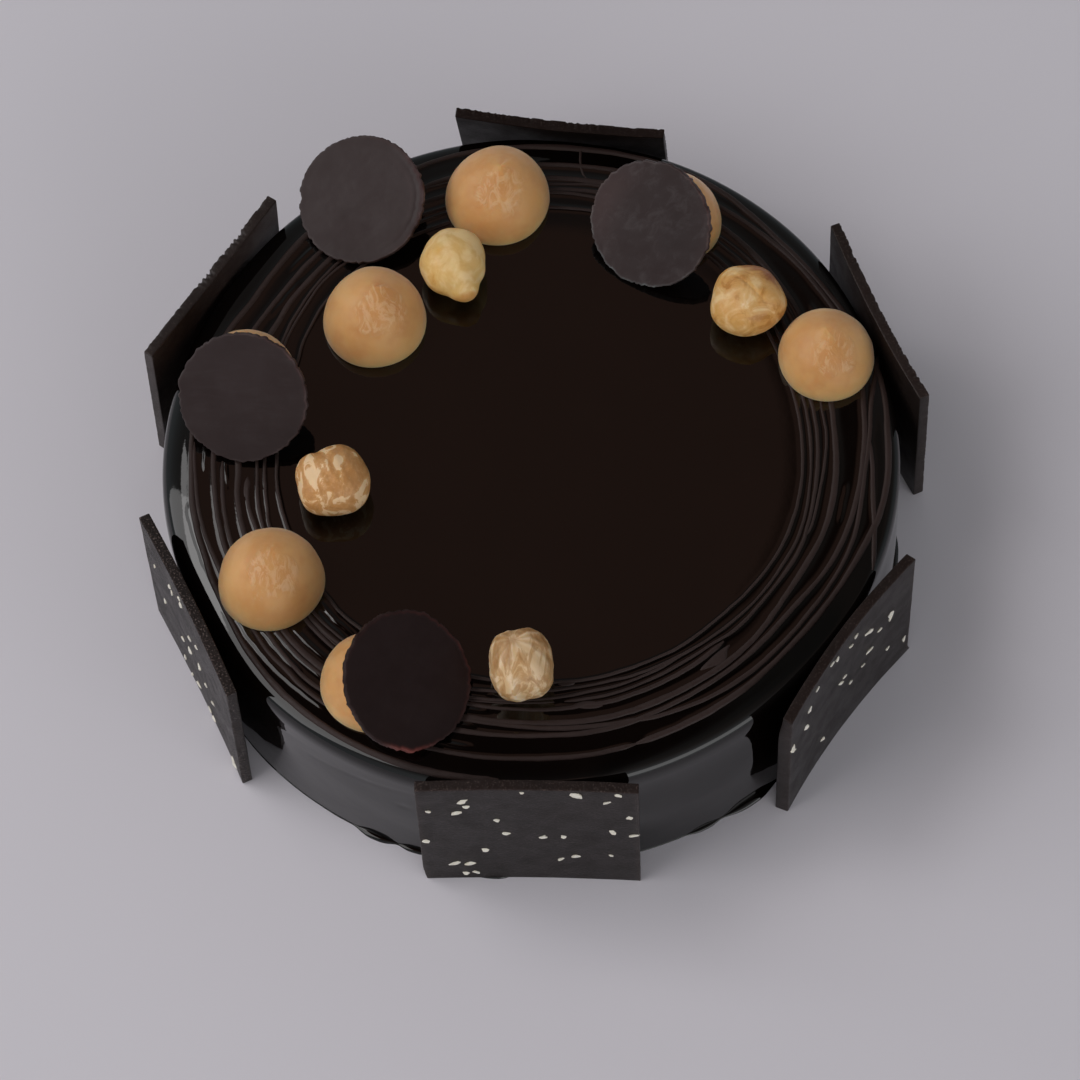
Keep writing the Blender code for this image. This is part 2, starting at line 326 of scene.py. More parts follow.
def plaque_material(name, seed, level, grit, shine):
    s = Shader(name, (0.0125 * level, 0.0082 * level, 0.0072 * level), 0.38, ior=1.5)
    s.set("Specular IOR Level", shine)
    fine = s.noise(700.0, 5.0, 0.62)
    wide = s.noise(55.0, 3.0, vector=s.where((1, 1, 1), move=(seed * 3.1, 0, 0)))

    def shade(r, g, b):
        return (r * level, g * level, b * level)

    tone = s.mix(s.ramp(wide, [(0.35, 0.0), (0.7, 1.0)]), shade(0.0105, 0.0070, 0.0060), shade(0.0145, 0.0096, 0.0085))
    tone = s.mix(s.ramp(fine, [(0.5, 0.0), (0.85, 0.5)]), tone, shade(0.025, 0.0185, 0.0175))
    specks = s.noise(2300.0, 2.0, 0.5)
    tone = s.mix(s.ramp(specks, [(0.58, 0.0), (0.66, grit)]), tone, (0.085, 0.070, 0.064))
    tone = s.mix(s.ramp(specks, [(0.36, 0.8 * grit), (0.44, 0.0)]), tone, (0.0040, 0.0026, 0.0022))
    s.colour(s.mix(1.0, tone, s.tint(), "MULTIPLY"))
    s.rough(s.ramp(s.noise(180.0, 4.0), [(0.3, 0.33), (0.75, 0.46)]))
    rub = s.noise(1400.0, 4.0, 0.70, 0.6)
    first = s.bump(rub, 0.00006 + 0.00030 * grit, 0.5 + 0.4 * grit)
    s.bump(s.noise(120.0, 2.0), 0.00004, 0.5, first)
    return s.mat


def flake_material():
    s = Shader("pale_flake", (0.78, 0.73, 0.62), 0.5, ior=1.5)
    s.set("Subsurface Weight", 0.1)
    s.set("Subsurface Radius", (0.001, 0.0008, 0.0005))
    s.colour(s.mix(s.noise(900.0, 3.0), (0.66, 0.60, 0.48), (0.90, 0.87, 0.79)))
    s.bump(s.noise(2500.0, 3.0), 0.00008, 0.6)
    return s.mat


def nut_material(name, deep, mid, pale, bounds, scale, stretch, turn, seed):
    s = Shader(name, mid, 0.42, ior=1.47)
    s.set("Specular IOR Level", 0.40)
    s.set("Subsurface Weight", 0.30)
    s.set("Subsurface Radius", (0.0030, 0.0016, 0.0008))
    place = s.where(stretch, (0, 0, math.radians(turn)), (seed * 2.1, seed * 1.3, seed))
    patch = s.noise(scale, 4.0, 0.6, 0.9, place)
    low, high = bounds
    tone = s.ramp(patch, [(low - 0.14, deep), (low, mid), (high, pale)])
    fine = s.noise(1100.0, 3.0)
    tone = s.mix(s.ramp(fine, [(0.45, 0.0), (0.8, 0.25)]), tone, pale)
    s.colour(s.mix(1.0, tone, s.tint(), "MULTIPLY"))
    s.rough(s.ramp(patch, [(0.4, 0.36), (0.7, 0.55)]))
    first = s.bump(patch, 0.00020, 0.6)
    s.bump(s.noise(1500.0, 4.0), 0.00006, 0.5, first)
    return s.mat


def floor_material():
    s = Shader("pale_floor", (0.690, 0.665, 0.715), 0.62)
    s.colour(s.mix(s.noise(6.0, 3.0), (0.680, 0.656, 0.706), (0.700, 0.674, 0.724)))
    s.bump(s.noise(900.0, 2.0), 0.00002, 0.2)
    return s.mat


# ---------------------------------------------------------- threads on top
# each: name, width (mm), height (mm), [(angle, radius mm), ...]
THREADS = [
    ("a", 1.00, 0.42, [(-75, 62.9), (-65, 63.4), (-60, 64.0), (-50, 64.1), (-45, 64.5), (-40, 65.25), (-30, 66.1),
                       (-15, 66.35), (0, 66.1), (15, 66.3), (30, 67.5), (45, 69.3), (60, 70.0), (75, 69.5),
                       (82, 69.3), (95, 68.2), (103, 67.5), (120, 67.0), (138, 66.0), (143, 65.0), (148, 64.0),
                       (153, 62.5), (165, 61.2), (178, 61.4), (185, 61.75), (195, 61.75), (215, 61.75),
                       (220, 62.1), (225, 61.9), (240, 61.5), (255, 61.4), (270, 61.8), (274, 62.0), (278, 62.5),
                       (285, 62.9)]),
    ("b", 0.95, 0.40, [(-75, 64.75), (-72, 65.25), (-65, 65.9), (-60, 66.25), (-55, 66.75), (-50, 67.35),
                       (-45, 68.1), (-40, 68.75), (-35, 69.0), (-30, 68.9), (-25, 69.15), (-20, 69.0),
                       (-15, 68.7), (-10, 68.4), (0, 68.2), (6, 68.2), (20, 68.8), (33, 70.0), (45, 70.5),
                       (60, 72.2), (75, 73.6), (83, 73.6), (95, 71.5), (101, 70.5), (106, 70.3), (120, 69.8),
                       (130, 70.5), (135, 70.5), (140, 69.75), (145, 69.0), (150, 68.0), (160, 65.5), (172, 64.3),
                       (180, 64.5), (185, 64.75), (190, 65.25), (193, 65.75), (205, 66.3), (215, 66.9),
                       (222, 66.9), (235, 66.0), (250, 65.0), (262, 64.5), (275, 64.3), (278, 64.4),
                       (285, 64.75)]),
    ("d", 1.05, 0.42, [(274, 68.0), (278, 68.2), (283, 68.5), (290, 68.5), (300, 68.4), (305, 68.6), (308, 69.0),
                       (312, 70.0), (315, 70.25), (325, 70.5), (335, 70.75), (340, 70.4), (343, 70.15),
                       (348, 69.95), (360, 70.0), (366, 70.0), (375, 70.3), (390, 72.5), (402, 73.9), (405, 73.9),
                       (415, 74.5), (430, 75.2), (438, 75.0), (443, 74.5), (450, 74.0), (460, 72.2), (464, 72.0),
                       (475, 72.0), (490, 71.6), (495, 71.25), (500, 70.75), (505, 70.0), (512, 68.5),
                       (525, 67.0), (539, 66.35), (545, 66.75), (550, 67.25), (555, 67.6), (565, 68.0),
                       (575, 68.4), (585, 68.2), (600, 67.5), (615, 67.1), (620, 67.15), (625, 67.0),
                       (630, 66.75), (635, 66.5), (640, 66.25), (645, 66.6), (655, 66.65), (660, 66.35),
                       (665, 66.75)]),
    ("e", 1.20, 0.42, [(182.5, 68.8), (187, 69.5), (190, 69.6), (193, 69.4), (205, 69.5), (215, 69.6),
                       (225, 69.9), (240, 69.3), (253, 68.9), (258, 69.25), (262, 69.5), (266, 69.75), (270, 70.0),
                       (275, 70.0), (278, 69.75), (281, 70.25), (285, 70.5), (300, 70.6), (305, 70.4),
                       (309, 70.25)]),
    ("f", 1.70, 0.46, [(130, 73.9), (135, 73.6), (140, 73.75), (145, 73.1), (150, 72.75), (160, 72.0), (170, 71.4),
                       (180, 71.0), (185, 71.75), (190, 72.25), (193, 72.4), (205, 73.6), (215, 75.4),
                       (222, 75.6), (230, 75.3), (240, 74.0), (255, 72.4), (260, 72.85), (265, 73.1), (270, 73.4),
                       (275, 73.75), (280, 74.1), (285, 74.3), (295, 74.5), (300, 74.6), (310, 74.9),
                       (315, 74.8), (320, 74.4), (325, 74.0), (330, 73.85), (335, 74.1), (340, 74.5),
                       (350, 74.5), (360, 74.25), (365, 74.5), (375, 75.5), (388, 76.7), (395, 77.0),
                       (400, 77.6), (405, 78.0), (410, 78.4), (420, 78.8), (435, 78.0), (440, 78.0),
                       (444, 77.75), (455, 76.0), (461, 75.4), (466, 75.2), (480, 74.6), (490, 73.9)]),
    ("g", 1.40, 0.44, [(-75, 77.0), (-70, 76.75), (-65, 76.6), (-55, 76.6), (-50, 76.75), (-45, 76.9), (-40, 77.1),
                       (-35, 77.5), (-30, 78.4), (-25, 79.1), (-20, 79.6), (-15, 80.0), (-10, 80.4), (-5, 80.9),
                       (0, 81.6), (5, 82.25), (8, 83.0), (15, 84.3), (22, 85.0), (25, 84.75), (30, 84.25),
                       (35, 84.0), (40, 83.6), (45, 83.25), (50, 83.1), (60, 82.7), (75, 82.25), (80, 82.0),
                       (85, 81.6), (93, 80.8), (101, 80.0), (105, 79.6), (115, 78.0), (125, 77.0), (130, 77.1),
                       (140, 76.8), (150, 77.0), (165, 77.0), (176, 77.0), (185, 77.15), (190, 77.5), (195, 78.0),
                       (205, 78.4), (213, 78.75), (220, 79.5), (225, 80.0), (235, 79.5), (245, 77.5), (252, 76.0),
                       (255, 76.0), (260, 76.25), (265, 76.5), (270, 76.6), (275, 76.85), (280, 77.0),
                       (285, 77.0)]),
    ("h", 1.20, 0.42, [(178, 74.8), (183, 75.1), (190, 75.75), (195, 76.2), (205, 76.5), (215, 76.9), (225, 77.0),
                       (235, 76.0), (245, 74.3), (255, 73.1), (260, 73.5), (265, 74.1), (270, 74.75), (275, 75.25),
                       (280, 75.75), (285, 76.6), (288, 77.4), (292, 78.25), (295, 78.75), (300, 79.5),
                       (305, 80.0), (310, 80.4), (315, 80.75), (320, 81.0), (325, 81.2), (330, 81.4), (335, 81.6),
                       (340, 81.75), (345, 81.5), (348, 81.3), (352, 81.3), (355, 81.7), (360, 82.75),
                       (364, 83.7), (368, 85.5), (371, 87.6), (374, 89.6)]),
    ("i", 1.60, 0.46, [(-75, 82.5), (-60, 82.5), (-45, 82.6), (-40, 83.0), (-35, 83.25), (-30, 83.6), (-25, 84.1),
                       (-20, 85.0), (-17, 85.75), (-15, 86.2), (-12, 86.6), (-8, 87.0), (0, 87.1), (5, 87.7),
                       (10, 88.1), (18, 87.6), (25, 86.25), (30, 85.5), (35, 85.1), (38, 85.0), (42, 85.1),
                       (47, 85.7), (52, 86.6), (60, 87.3), (75, 87.4), (80, 87.2), (85, 87.0), (92, 86.6),
                       (100, 86.2), (105, 85.7), (115, 84.5), (125, 83.4), (130, 83.0), (135, 82.5), (140, 82.1),
                       (145, 81.75), (150, 82.25), (160, 82.6), (172, 82.7), (180, 82.4), (185, 82.75),
                       (190, 83.0), (195, 83.25), (200, 84.0), (205, 84.25), (210, 84.75), (215, 85.25),
                       (220, 85.75), (225, 86.2), (235, 86.8), (250, 87.1), (262, 87.3)]),
    ("j", 1.30, 0.42, [(174, 82.0), (180, 81.6), (190, 81.6), (200, 81.3), (212, 81.25), (217, 81.65), (222, 81.6),
                       (225, 82.0), (235, 82.2), (245, 81.8), (255, 81.85), (260, 82.15), (265, 82.25),
                       (270, 82.35), (275, 82.5), (285, 82.5)]),
    ("k", 1.30, 0.42, [(-24.5, 88.9), (-22.5, 88.0), (-20, 86.8), (-16, 85.3), (-12, 84.0), (-8, 83.4), (-5, 83.0),
                       (-2, 82.5), (1, 81.8)]),
    ("l", 0.80, 0.34, [(-23, 70.9), (-20, 71.2), (-15, 71.1), (-10, 71.25), (-5, 71.75), (0, 72.2), (5, 72.1),
                       (12, 72.8), (30, 75.2), (40, 75.75), (50, 75.75), (60, 76.3), (75, 77.0), (80, 76.4),
                       (86, 75.8)]),
    ("m", 0.70, 0.30, [(98, 78.9), (104, 78.7), (112, 79.2), (122, 79.6)]),
    ("n", 0.70, 0.30, [(212, 68.9), (218, 68.7), (224, 68.9), (232, 68.6), (250, 67.9), (262, 67.8), (272, 67.9)]),
]
# short radial streak: [(angle, radius), ...] from the rim inwards
STREAK = [(78.6, 88.2), (78.5, 86.5), (78.3, 84.0), (77.9, 81.5), (77.2, 79.5), (76.4, 78.4)]


# tilt of the glaze (degrees) at a few radii (mm): flat in the middle, falling
# gently where the combing begins, then rolling over the shoulder
TILTS = ((0.0, 0.0), (60.0, 0.0), (65.0, 1.4), (79.0, 2.3), (82.0, 5.0), (83.5, 9.0), (85.0, 13.0), (86.5, 17.5),
         (87.6, 23.0), (88.4, 35.0), (89.2, 55.0), (89.7, 74.0), (90.0, 88.0))


# the back and the right have a flatter top and a tighter shoulder
TIGHT = ((0.0, 0.0), (60.0, 0.0), (65.0, 1.4), (79.0, 2.3), (84.0, 4.2), (87.0, 7.5), (88.2, 12.0), (88.9, 30.0),
         (89.5, 56.0), (89.8, 74.0), (90.0, 88.0))


def roll_profile(tilts):
    steps = np.concatenate((np.arange(0.0, 88.0, 0.02), np.arange(88.0, 90.0, 0.002), [90.0]))
    tilt = np.interp(steps, [t[0] for t in tilts], [t[1] for t in tilts])
    slope = np.tan(np.radians(tilt))
    drop = np.concatenate(([0.0], np.cumsum(0.5 * (slope[1:] + slope[:-1]) * np.diff(steps))))
    return steps * MM, drop * MM, np.radians(tilt)


SOFT_ROLL, TIGHT_ROLL = roll_profile(TILTS), roll_profile(TIGHT)


def tightness(degrees):
    """0 round the left and front, 1 round the right and back."""
    gap = abs((degrees - 55.0 + 180.0) % 360.0 - 180.0)
    share = np.clip((112.0 - gap) / 24.0, 0.0, 1.0)
    return share * share * (3.0 - 2.0 * share)


def droop(r, degrees):
    """How far the glaze has fallen at a radius and a direction."""
    t = tightness(degrees)
    return (1.0 - t) * np.interp(r, SOFT_ROLL[0], SOFT_ROLL[1]) + t * np.interp(r, TIGHT_ROLL[0], TIGHT_ROLL[1])


def surface(r, degrees):
    """Height of the glaze at a radius (m), and its outward tilt from +Z."""
    t = tightness(degrees)
    tilt = (1.0 - t) * np.interp(r, SOFT_ROLL[0], SOFT_ROLL[2]) + t * np.interp(r, TIGHT_ROLL[0], TIGHT_ROLL[2])
    return HEIGHT - droop(r, degrees), tilt


def inset(degrees, z):
    """The upper side leans in a little, most at the right front."""
    gap = (degrees - 295.0 + 180.0) % 360.0 - 180.0
    share = 0.15 + 0.85 * np.exp(-(gap / 34.0) ** 2)
    up = np.clip((z - 0.018) / 0.020, 0.0, 1.0)
    return 0.0015 * share * up * up * (3.0 - 2.0 * up)


def press(turn):
    """How far the side is pressed in at an angle (radians)."""
    depth = 0.0
    for row in PLAQUES.values():
        gap = turn - math.radians(row[1])
        arc = RADIUS * math.atan2(math.sin(gap), math.cos(gap))
        depth += PRESS_DEPTH * math.exp(-(arc / PRESS_WIDTH) ** 2)
    return depth


def thread_paths():
    """Every thread as (angles, radii, widths, heights) in degrees and mm."""
    paths = []
    for i, (name, width, height, points) in enumerate(THREADS):
        span = points[-1][0] - points[0][0]
        count = max(24, int(span * 2.2))
        angles, radii = spline(points, count)
        closed = abs(span - 360) < 1e-6
        wide = np.empty(count)
        tall = np.empty(count)
        for j, (a, r) in enumerate(zip(angles, radii)):
            t = math.radians(a)
            x, y = math.cos(t), math.sin(t)
            wander = fbm(5.0 * x + i * 3.7, 5.0 * y, i * 1.9)
            radii[j] = r + 0.10 * fbm(16.0 * x, 16.0 * y, 7.0 + i)
            ends = 1.0
            if not closed:
                ends = min(1.0, (a - angles[0]) / 2.2 + 0.12, (angles[-1] - a) / 2.2 + 0.12)
            wide[j] = 0.99 * width * (1.0 + 0.24 * wander) * (0.35 + 0.65 * ends)
            tall[j] = 1.10 * height * (1.0 + 0.20 * wander) * (0.25 + 0.75 * ends)
        paths.append((angles, radii, wide, tall, closed))
    return paths


def ribbon(path, verts, faces, lift=0.0):
    """A thread with a low rounded back, laid along the glaze."""
    angles, radii, wide, tall, closed = path
    across = 9
    start = len(verts)
    count = len(angles) - 1 if closed else len(angles)
    for j in range(count):
        t = math.radians(angles[j])
        pressed = press(t)
        for k in range(across):
            u = -1.0 + 2.0 * k / (across - 1)
            r = radii[j] * MM + 0.5 * wide[j] * MM * u
            r_on = min(r, RADIUS - 1e-6)
            z, tilt = surface(r_on, angles[j])
            rise = tall[j] * MM * math.sqrt(max(0.0, 1.0 - abs(u) ** 2.6)) - 0.00008 + lift
            rr = r_on + rise * math.sin(tilt)
            fade = min(1.0, max(0.0, (r_on - 0.060) / 0.010))
            rr -= (pressed + inset(angles[j], z)) * fade
            verts.append((rr * math.cos(t), rr * math.sin(t), z + rise * math.cos(tilt)))
    faces.extend(grid_faces(count, across, False, False, start))
    if closed:
        for k in range(across - 1):
            a = start + (count - 1) * across + k
            faces.append((a, a + 1, start + k + 1, start + k))


def streak_ribbon(verts, faces):
    start = len(verts)
    across = 7
    for j, (a, r) in enumerate(STREAK):
        t0 = math.radians(a)
        wide = 0.00075 if 0 < j < len(STREAK) - 1 else 0.0003
        for k in range(across):
            u = -1.0 + 2.0 * k / (across - 1)
            z, tilt = surface(r * MM, a)
            rise = 0.00040 * math.sqrt(max(0.0, 1.0 - abs(u) ** 2.6)) - 0.00008
            t = t0 + 0.5 * wide * u / (r * MM)
            rr = r * MM + rise * math.sin(tilt) - press(t0) - inset(a, z)
            verts.append((rr * math.cos(t), rr * math.sin(t), z + rise * math.cos(tilt)))
    faces.extend(grid_faces(len(STREAK), across, False, True, start))


def smear(outline, height, verts, faces):
    """A flat patch of spread chocolate; outline is [(angle, radius mm), ...]."""
    rings = 5
    start = len(verts)
    pts = [(r * MM * math.cos(math.radians(a)), r * MM * math.sin(math.radians(a))) for a, r in outline]
    loop = []
    n = len(pts)
    for i in range(n):                       # rounded outline
        for s in range(4):
            f = s / 4.0
            a, b, c, d = (pts[(i + o) % n] for o in (-1, 0, 1, 2))
            loop.append(tuple(0.5 * ((2 * b[q]) + (-a[q] + c[q]) * f + (2 * a[q] - 5 * b[q] + 4 * c[q] - d[q]) * f**2
                              + (-a[q] + 3 * b[q] - 3 * c[q] + d[q]) * f**3) for q in (0, 1)))
    cx = sum(p[0] for p in loop) / len(loop)
    cy = sum(p[1] for p in loop) / len(loop)
    for k in range(rings):
        f = 1.0 - k / rings
        rise = height * math.sqrt(1.0 - f**4) - 0.00006
        for x, y in loop:
            px, py = cx + f * (x - cx), cy + f * (y - cy)
            verts.append((px, py, surface(math.hypot(px, py), math.degrees(math.atan2(py, px)))[0] + rise))
    centre = len(verts)
    verts.append((cx, cy, surface(math.hypot(cx, cy), math.degrees(math.atan2(cy, cx)))[0] + height))
    m = len(loop)
    faces.extend(grid_faces(rings, m, True, False, start))
    base = start + (rings - 1) * m
    for i in range(m):
        faces.append((base + i, base + (i + 1) % m, centre))


def build_threads(paths, material):
    verts, faces = [], []
    for i, path in enumerate(paths):
        ribbon(path, verts, faces, 0.00002 * (i % 4))
    streak_ribbon(verts, faces)
    smear([(-58.5, 71.0), (-56, 72.2), (-54.5, 73.1), (-53.2, 72.9), (-51.8, 71.2), (-50.6, 70.3), (-54, 69.9)],
          0.00034, verts, faces)
    smear([(275.2, 68.3), (277.5, 69.4), (280.0, 69.9), (281.6, 69.6), (280.6, 68.4), (278.6, 67.5), (276.4, 67.6)],
          0.00036, verts, faces)
    smear([(272.8, 61.9), (274.4, 63.0), (276.5, 62.9), (277.0, 62.1), (275.0, 61.4)], 0.00036, verts, faces)
    smear([(181.6, 68.6), (183.5, 69.7), (186, 70.0), (186.2, 69.0), (183.5, 68.0)], 0.00034, verts, faces)
    obj = make("chocolate_threads", verts, faces, material)
    return piece(obj, "disc_chocolate")


# ---------------------------------------------------------------- the glaze
# glaze heaped beside the threads: angles from, to, crest radius (mm), height (mm)
HEAPS = [
    (186.0, 206.0, 84.2, 0.16), (203.0, 232.0, 83.2, 0.42), (209.0, 224.0, 79.7, 0.36), (211.0, 229.0, 77.3, 0.34),
    (213.0, 228.0, 73.3, 0.40), (216.0, 226.0, 66.5, 0.36), (213.0, 227.0, 64.4, 0.36), (228.0, 236.0, 71.4, 0.34),
    (248.0, 257.0, 80.0, 0.46), (249.0, 257.0, 74.7, 0.46), (250.0, 259.0, 70.6, 0.46), (258.0, 265.0, 66.0, 0.46),
    (172.0, 180.0, 79.2, 0.26), (176.0, 184.0, 74.0, 0.26), (20.0, 27.0, 80.4, 0.24), (124.0, 136.0, 79.3, 0.24),
    (136.0, 146.0, 75.4, 0.22), (342.0, 350.0, 77.4, 0.22),
]


def build_glaze(paths, material):
    turns = 576
    inner = [0.0015, 0.006, 0.012, 0.020, 0.028, 0.036, 0.044, 0.050, 0.055, 0.058]
    top = np.array(inner + list(np.arange(0.0600, 0.0862, 0.0003)))
    angle = np.arange(turns) * 2 * math.pi / turns
    deg = np.degrees(angle)
    cos, sin = np.cos(angle), np.sin(angle)
    pressed = np.array([press(t) for t in angle])
    # the glaze rises softly at each thread's foot, and lies heaped beside some
    relief = np.zeros((len(top), turns))
    for a, r, w, h, closed in paths:
        for k in range(-1, 2):
            at = deg + 360.0 * k
            inside = (at >= a[0]) & (at <= a[-1])
            if not inside.any():
                continue
            rr = np.interp(at[inside], a, r) * MM
            ww = np.interp(at[inside], a, w) * MM
            hh = np.interp(at[inside], a, h) * MM
            d = np.abs(top[:, None] - rr[None, :]) / (0.72 * ww[None, :])
            relief[:, inside] = np.maximum(relief[:, inside], 0.22 * hh[None, :] * np.exp(-d**2.0))
    for number, (a0, a1, crest, tall) in enumerate(HEAPS):
        run = ((deg - a0) % 360.0) / (a1 - a0)
        inside = run < 1.0
        ends = np.sin(np.pi * np.clip(run[inside], 0, 1)) ** 0.5
        sway = np.array([0.25 * fbm(0.45 * v, number * 3.1, 0.0, 2) for v in deg[inside]])
        off = (top[:, None] / MM - crest - sway[None, :])
        rise = np.where(off < 0, np.exp(-(off / 0.8) ** 2), 0.5 + 0.5 * np.cos(np.pi * np.clip(off / 0.6, 0, 1)))
        relief[:, inside] += 0.58 * tall * MM * ends[None, :] * rise
    verts, faces = [], []

    def ring(radius, z, press_share, wobble=0.0):
        rr = radius - (pressed + inset(deg, z)) * press_share + wobble
        zz = z if np.ndim(z) else np.full(turns, z)
        verts.extend(zip(rr * cos, rr * sin, zz))

    verts.append((0.0, 0.0, HEIGHT))
    for i, radius in enumerate(top):
        share = min(1.0, max(0.0, (radius - 0.060) / 0.010))
        ring(radius, surface(radius, deg)[0] + relief[i] * min(1.0, (0.0864 - radius) / 0.0010), share)
    for radius in list(np.arange(0.0864, 0.0889, 0.00025)) + [0.0890, 0.0892, 0.0894, 0.08955, 0.0897, 0.0898, 0.0899,
                                                               0.08996]:
        ring(radius, surface(radius, deg)[0], 1.0)
    rows = 50
    wall_top = surface(RADIUS, deg)[0]
    for i in range(0, rows + 1):
        z = wall_top * (1.0 - i / rows) + 0.0002 * (i == rows)
        wob = np.array([0.00007 * fbm(7.0 * c, 7.0 * s, h * 75.0, 2) + 0.000012 * fbm(32.0 * c, 32.0 * s, h * 380.0, 2)
                        for c, s, h in zip(cos, sin, z)])
        # shallow slanting creases and one dimple at the left front
        for a0, z0, a1, z1, deep in ((228.0, 0.0285, 251.0, 0.0345, 0.00005), (222.0, 0.0320, 233.0, 0.0345, 0.00003),
                                     (262.0, 0.0200, 276.0, 0.0250, 0.00003), (318.0, 0.0250, 340.0, 0.0310, 0.00004),
                                     (20.0, 0.0300, 48.0, 0.0240, 0.00004), (100.0, 0.0280, 128.0, 0.0330, 0.00004)):
            run = np.clip((deg - a0) / (a1 - a0), 0.0, 1.0)
            line = z0 + (z1 - z0) * run
            inside = np.clip(6.0 * np.minimum(run, 1.0 - run), 0.0, 1.0)
            wob = wob - deep * inside * np.exp(-((z - line) / 0.0007) ** 2)
        wob = wob - 0.00010 * np.exp(-((deg - 247.0) / 0.9) ** 2 - ((z - 0.0250) / 0.0011) ** 2)
        ring(RADIUS, z, 1.0, (wob - 0.00005) * min(1.0, i / 8.0))
    ring(RADIUS - 0.0010, 0.0, 1.0)
    ring(0.05, 0.0, 0.0)
    last_ring = len(verts) - turns
    verts.append((0.0, 0.0, 0.0))
    count = (len(verts) - 2) // turns
    for i in range(count - 1):
        faces.extend([(1 + i * turns + j, 1 + (i + 1) * turns + j, 1 + (i + 1) * turns + (j + 1) % turns,
                       1 + i * turns + (j + 1) % turns) for j in range(turns)])
    for j in range(turns):
        faces.append((0, 1 + j, 1 + (j + 1) % turns))
        faces.append((len(verts) - 1, last_ring + (j + 1) % turns, last_ring + j))
    obj = make("glazed_body", verts, faces, material)
    return piece(obj, "glaze", "cake_body")


def build_foot(material):
    """Glaze that ran down and set round the foot, ragged at its outer edge."""
    turns = 720
    lumps = [  # angle, half width in degrees, reach beyond the side (mm)
        (241.6, 3.0, 1.25), (248.2, 2.6, 0.95), (260.5, 4.6, 4.1), (276.0, 3.0, 0.4),
        (294.2, 2.4, 0.75), (302.8, 4.2, 1.35), (352.0, 4.0, 0.9), (4.0, 2.6, 0.6), (46.0, 4.4, 1.1),
        (63.0, 3.0, 0.8), (108.0, 4.0, 1.2), (118.0, 2.2, 0.7), (172.0, 4.0, 1.0), (187.0, 2.4, 0.6),
    ]
    verts, faces = [], []
    levels = 9
    for j in range(turns):
        t = 2 * math.pi * j / turns
        deg = math.degrees(t)
        reach = 0.07 + 0.05 * fbm(9 * math.cos(t), 9 * math.sin(t), 3.0)
        for at, half, out in lumps:
            gap = (deg - at + 180.0) % 360.0 - 180.0
            if abs(gap) < 1.6 * half:
                reach = max(reach, out * math.exp(-(abs(gap) / half) ** 3.0))
        reach = max(0.05, reach) * MM
        side = RADIUS - press(t) - 0.0003
        tall = 0.00020 + 0.50 * reach if reach < 0.002 else 0.0012
        for k in range(levels):
            a = math.radians(90.0 * k / (levels - 1))
            rr = side + (reach + 0.0003) * math.sin(a)
            z = tall * math.cos(a) ** 1.3
            if k == levels - 1:
                z = 0.0
            verts.append((rr * math.cos(t), rr * math.sin(t), z))
    for j in range(turns):
        for k in range(levels - 1):
            a = j * levels + k
            b = ((j + 1) % turns) * levels + k
            faces.append((a, a + 1, b + 1, b))
    obj = make("glaze_foot", verts, faces, material)
    return piece(obj, "glaze")


# -------------------------------------------------------------------- domes
# node: centre, widest radius, height, peak lean (x, y), peak share, seed
DOMES = {
    "dome_1": (-0.0043, 0.0704, 0.0130, 0.0155, 0.0010, 0.0004, 0.075, 1),
    "dome_2": (-0.0361, 0.0381, 0.0128, 0.0160, 0.0008, 0.0005, 0.070, 2),
    "dome_3": (0.0735, 0.0206, 0.0118, 0.0137, -0.0003, 0.0006, 0.075, 3),
    "dome_4": (-0.0636, -0.0312, 0.01275, 0.0157, 0.0008, 0.0007, 0.030, 4),
    "dome_5": (0.0383, 0.0615, 0.0125, None, 0.0, 0.0, 0.0, 5),
    "dome_6": (-0.0682, 0.0240, 0.0125, None, 0.0, 0.0, 0.0, 6),
    "dome_7": (-0.0404, -0.0593, 0.0125, None, 0.0, 0.0, 0.0, 7),
    "dome_8": (-0.0345, 0.0695, 0.0092, None, 0.0, 0.0, 0.0, 8),
}
CREASES = {1: (35.0, 0.34), 2: (12.0, 0.34), 3: (-60.0, 0.28), 4: (60.0, 0.16)}


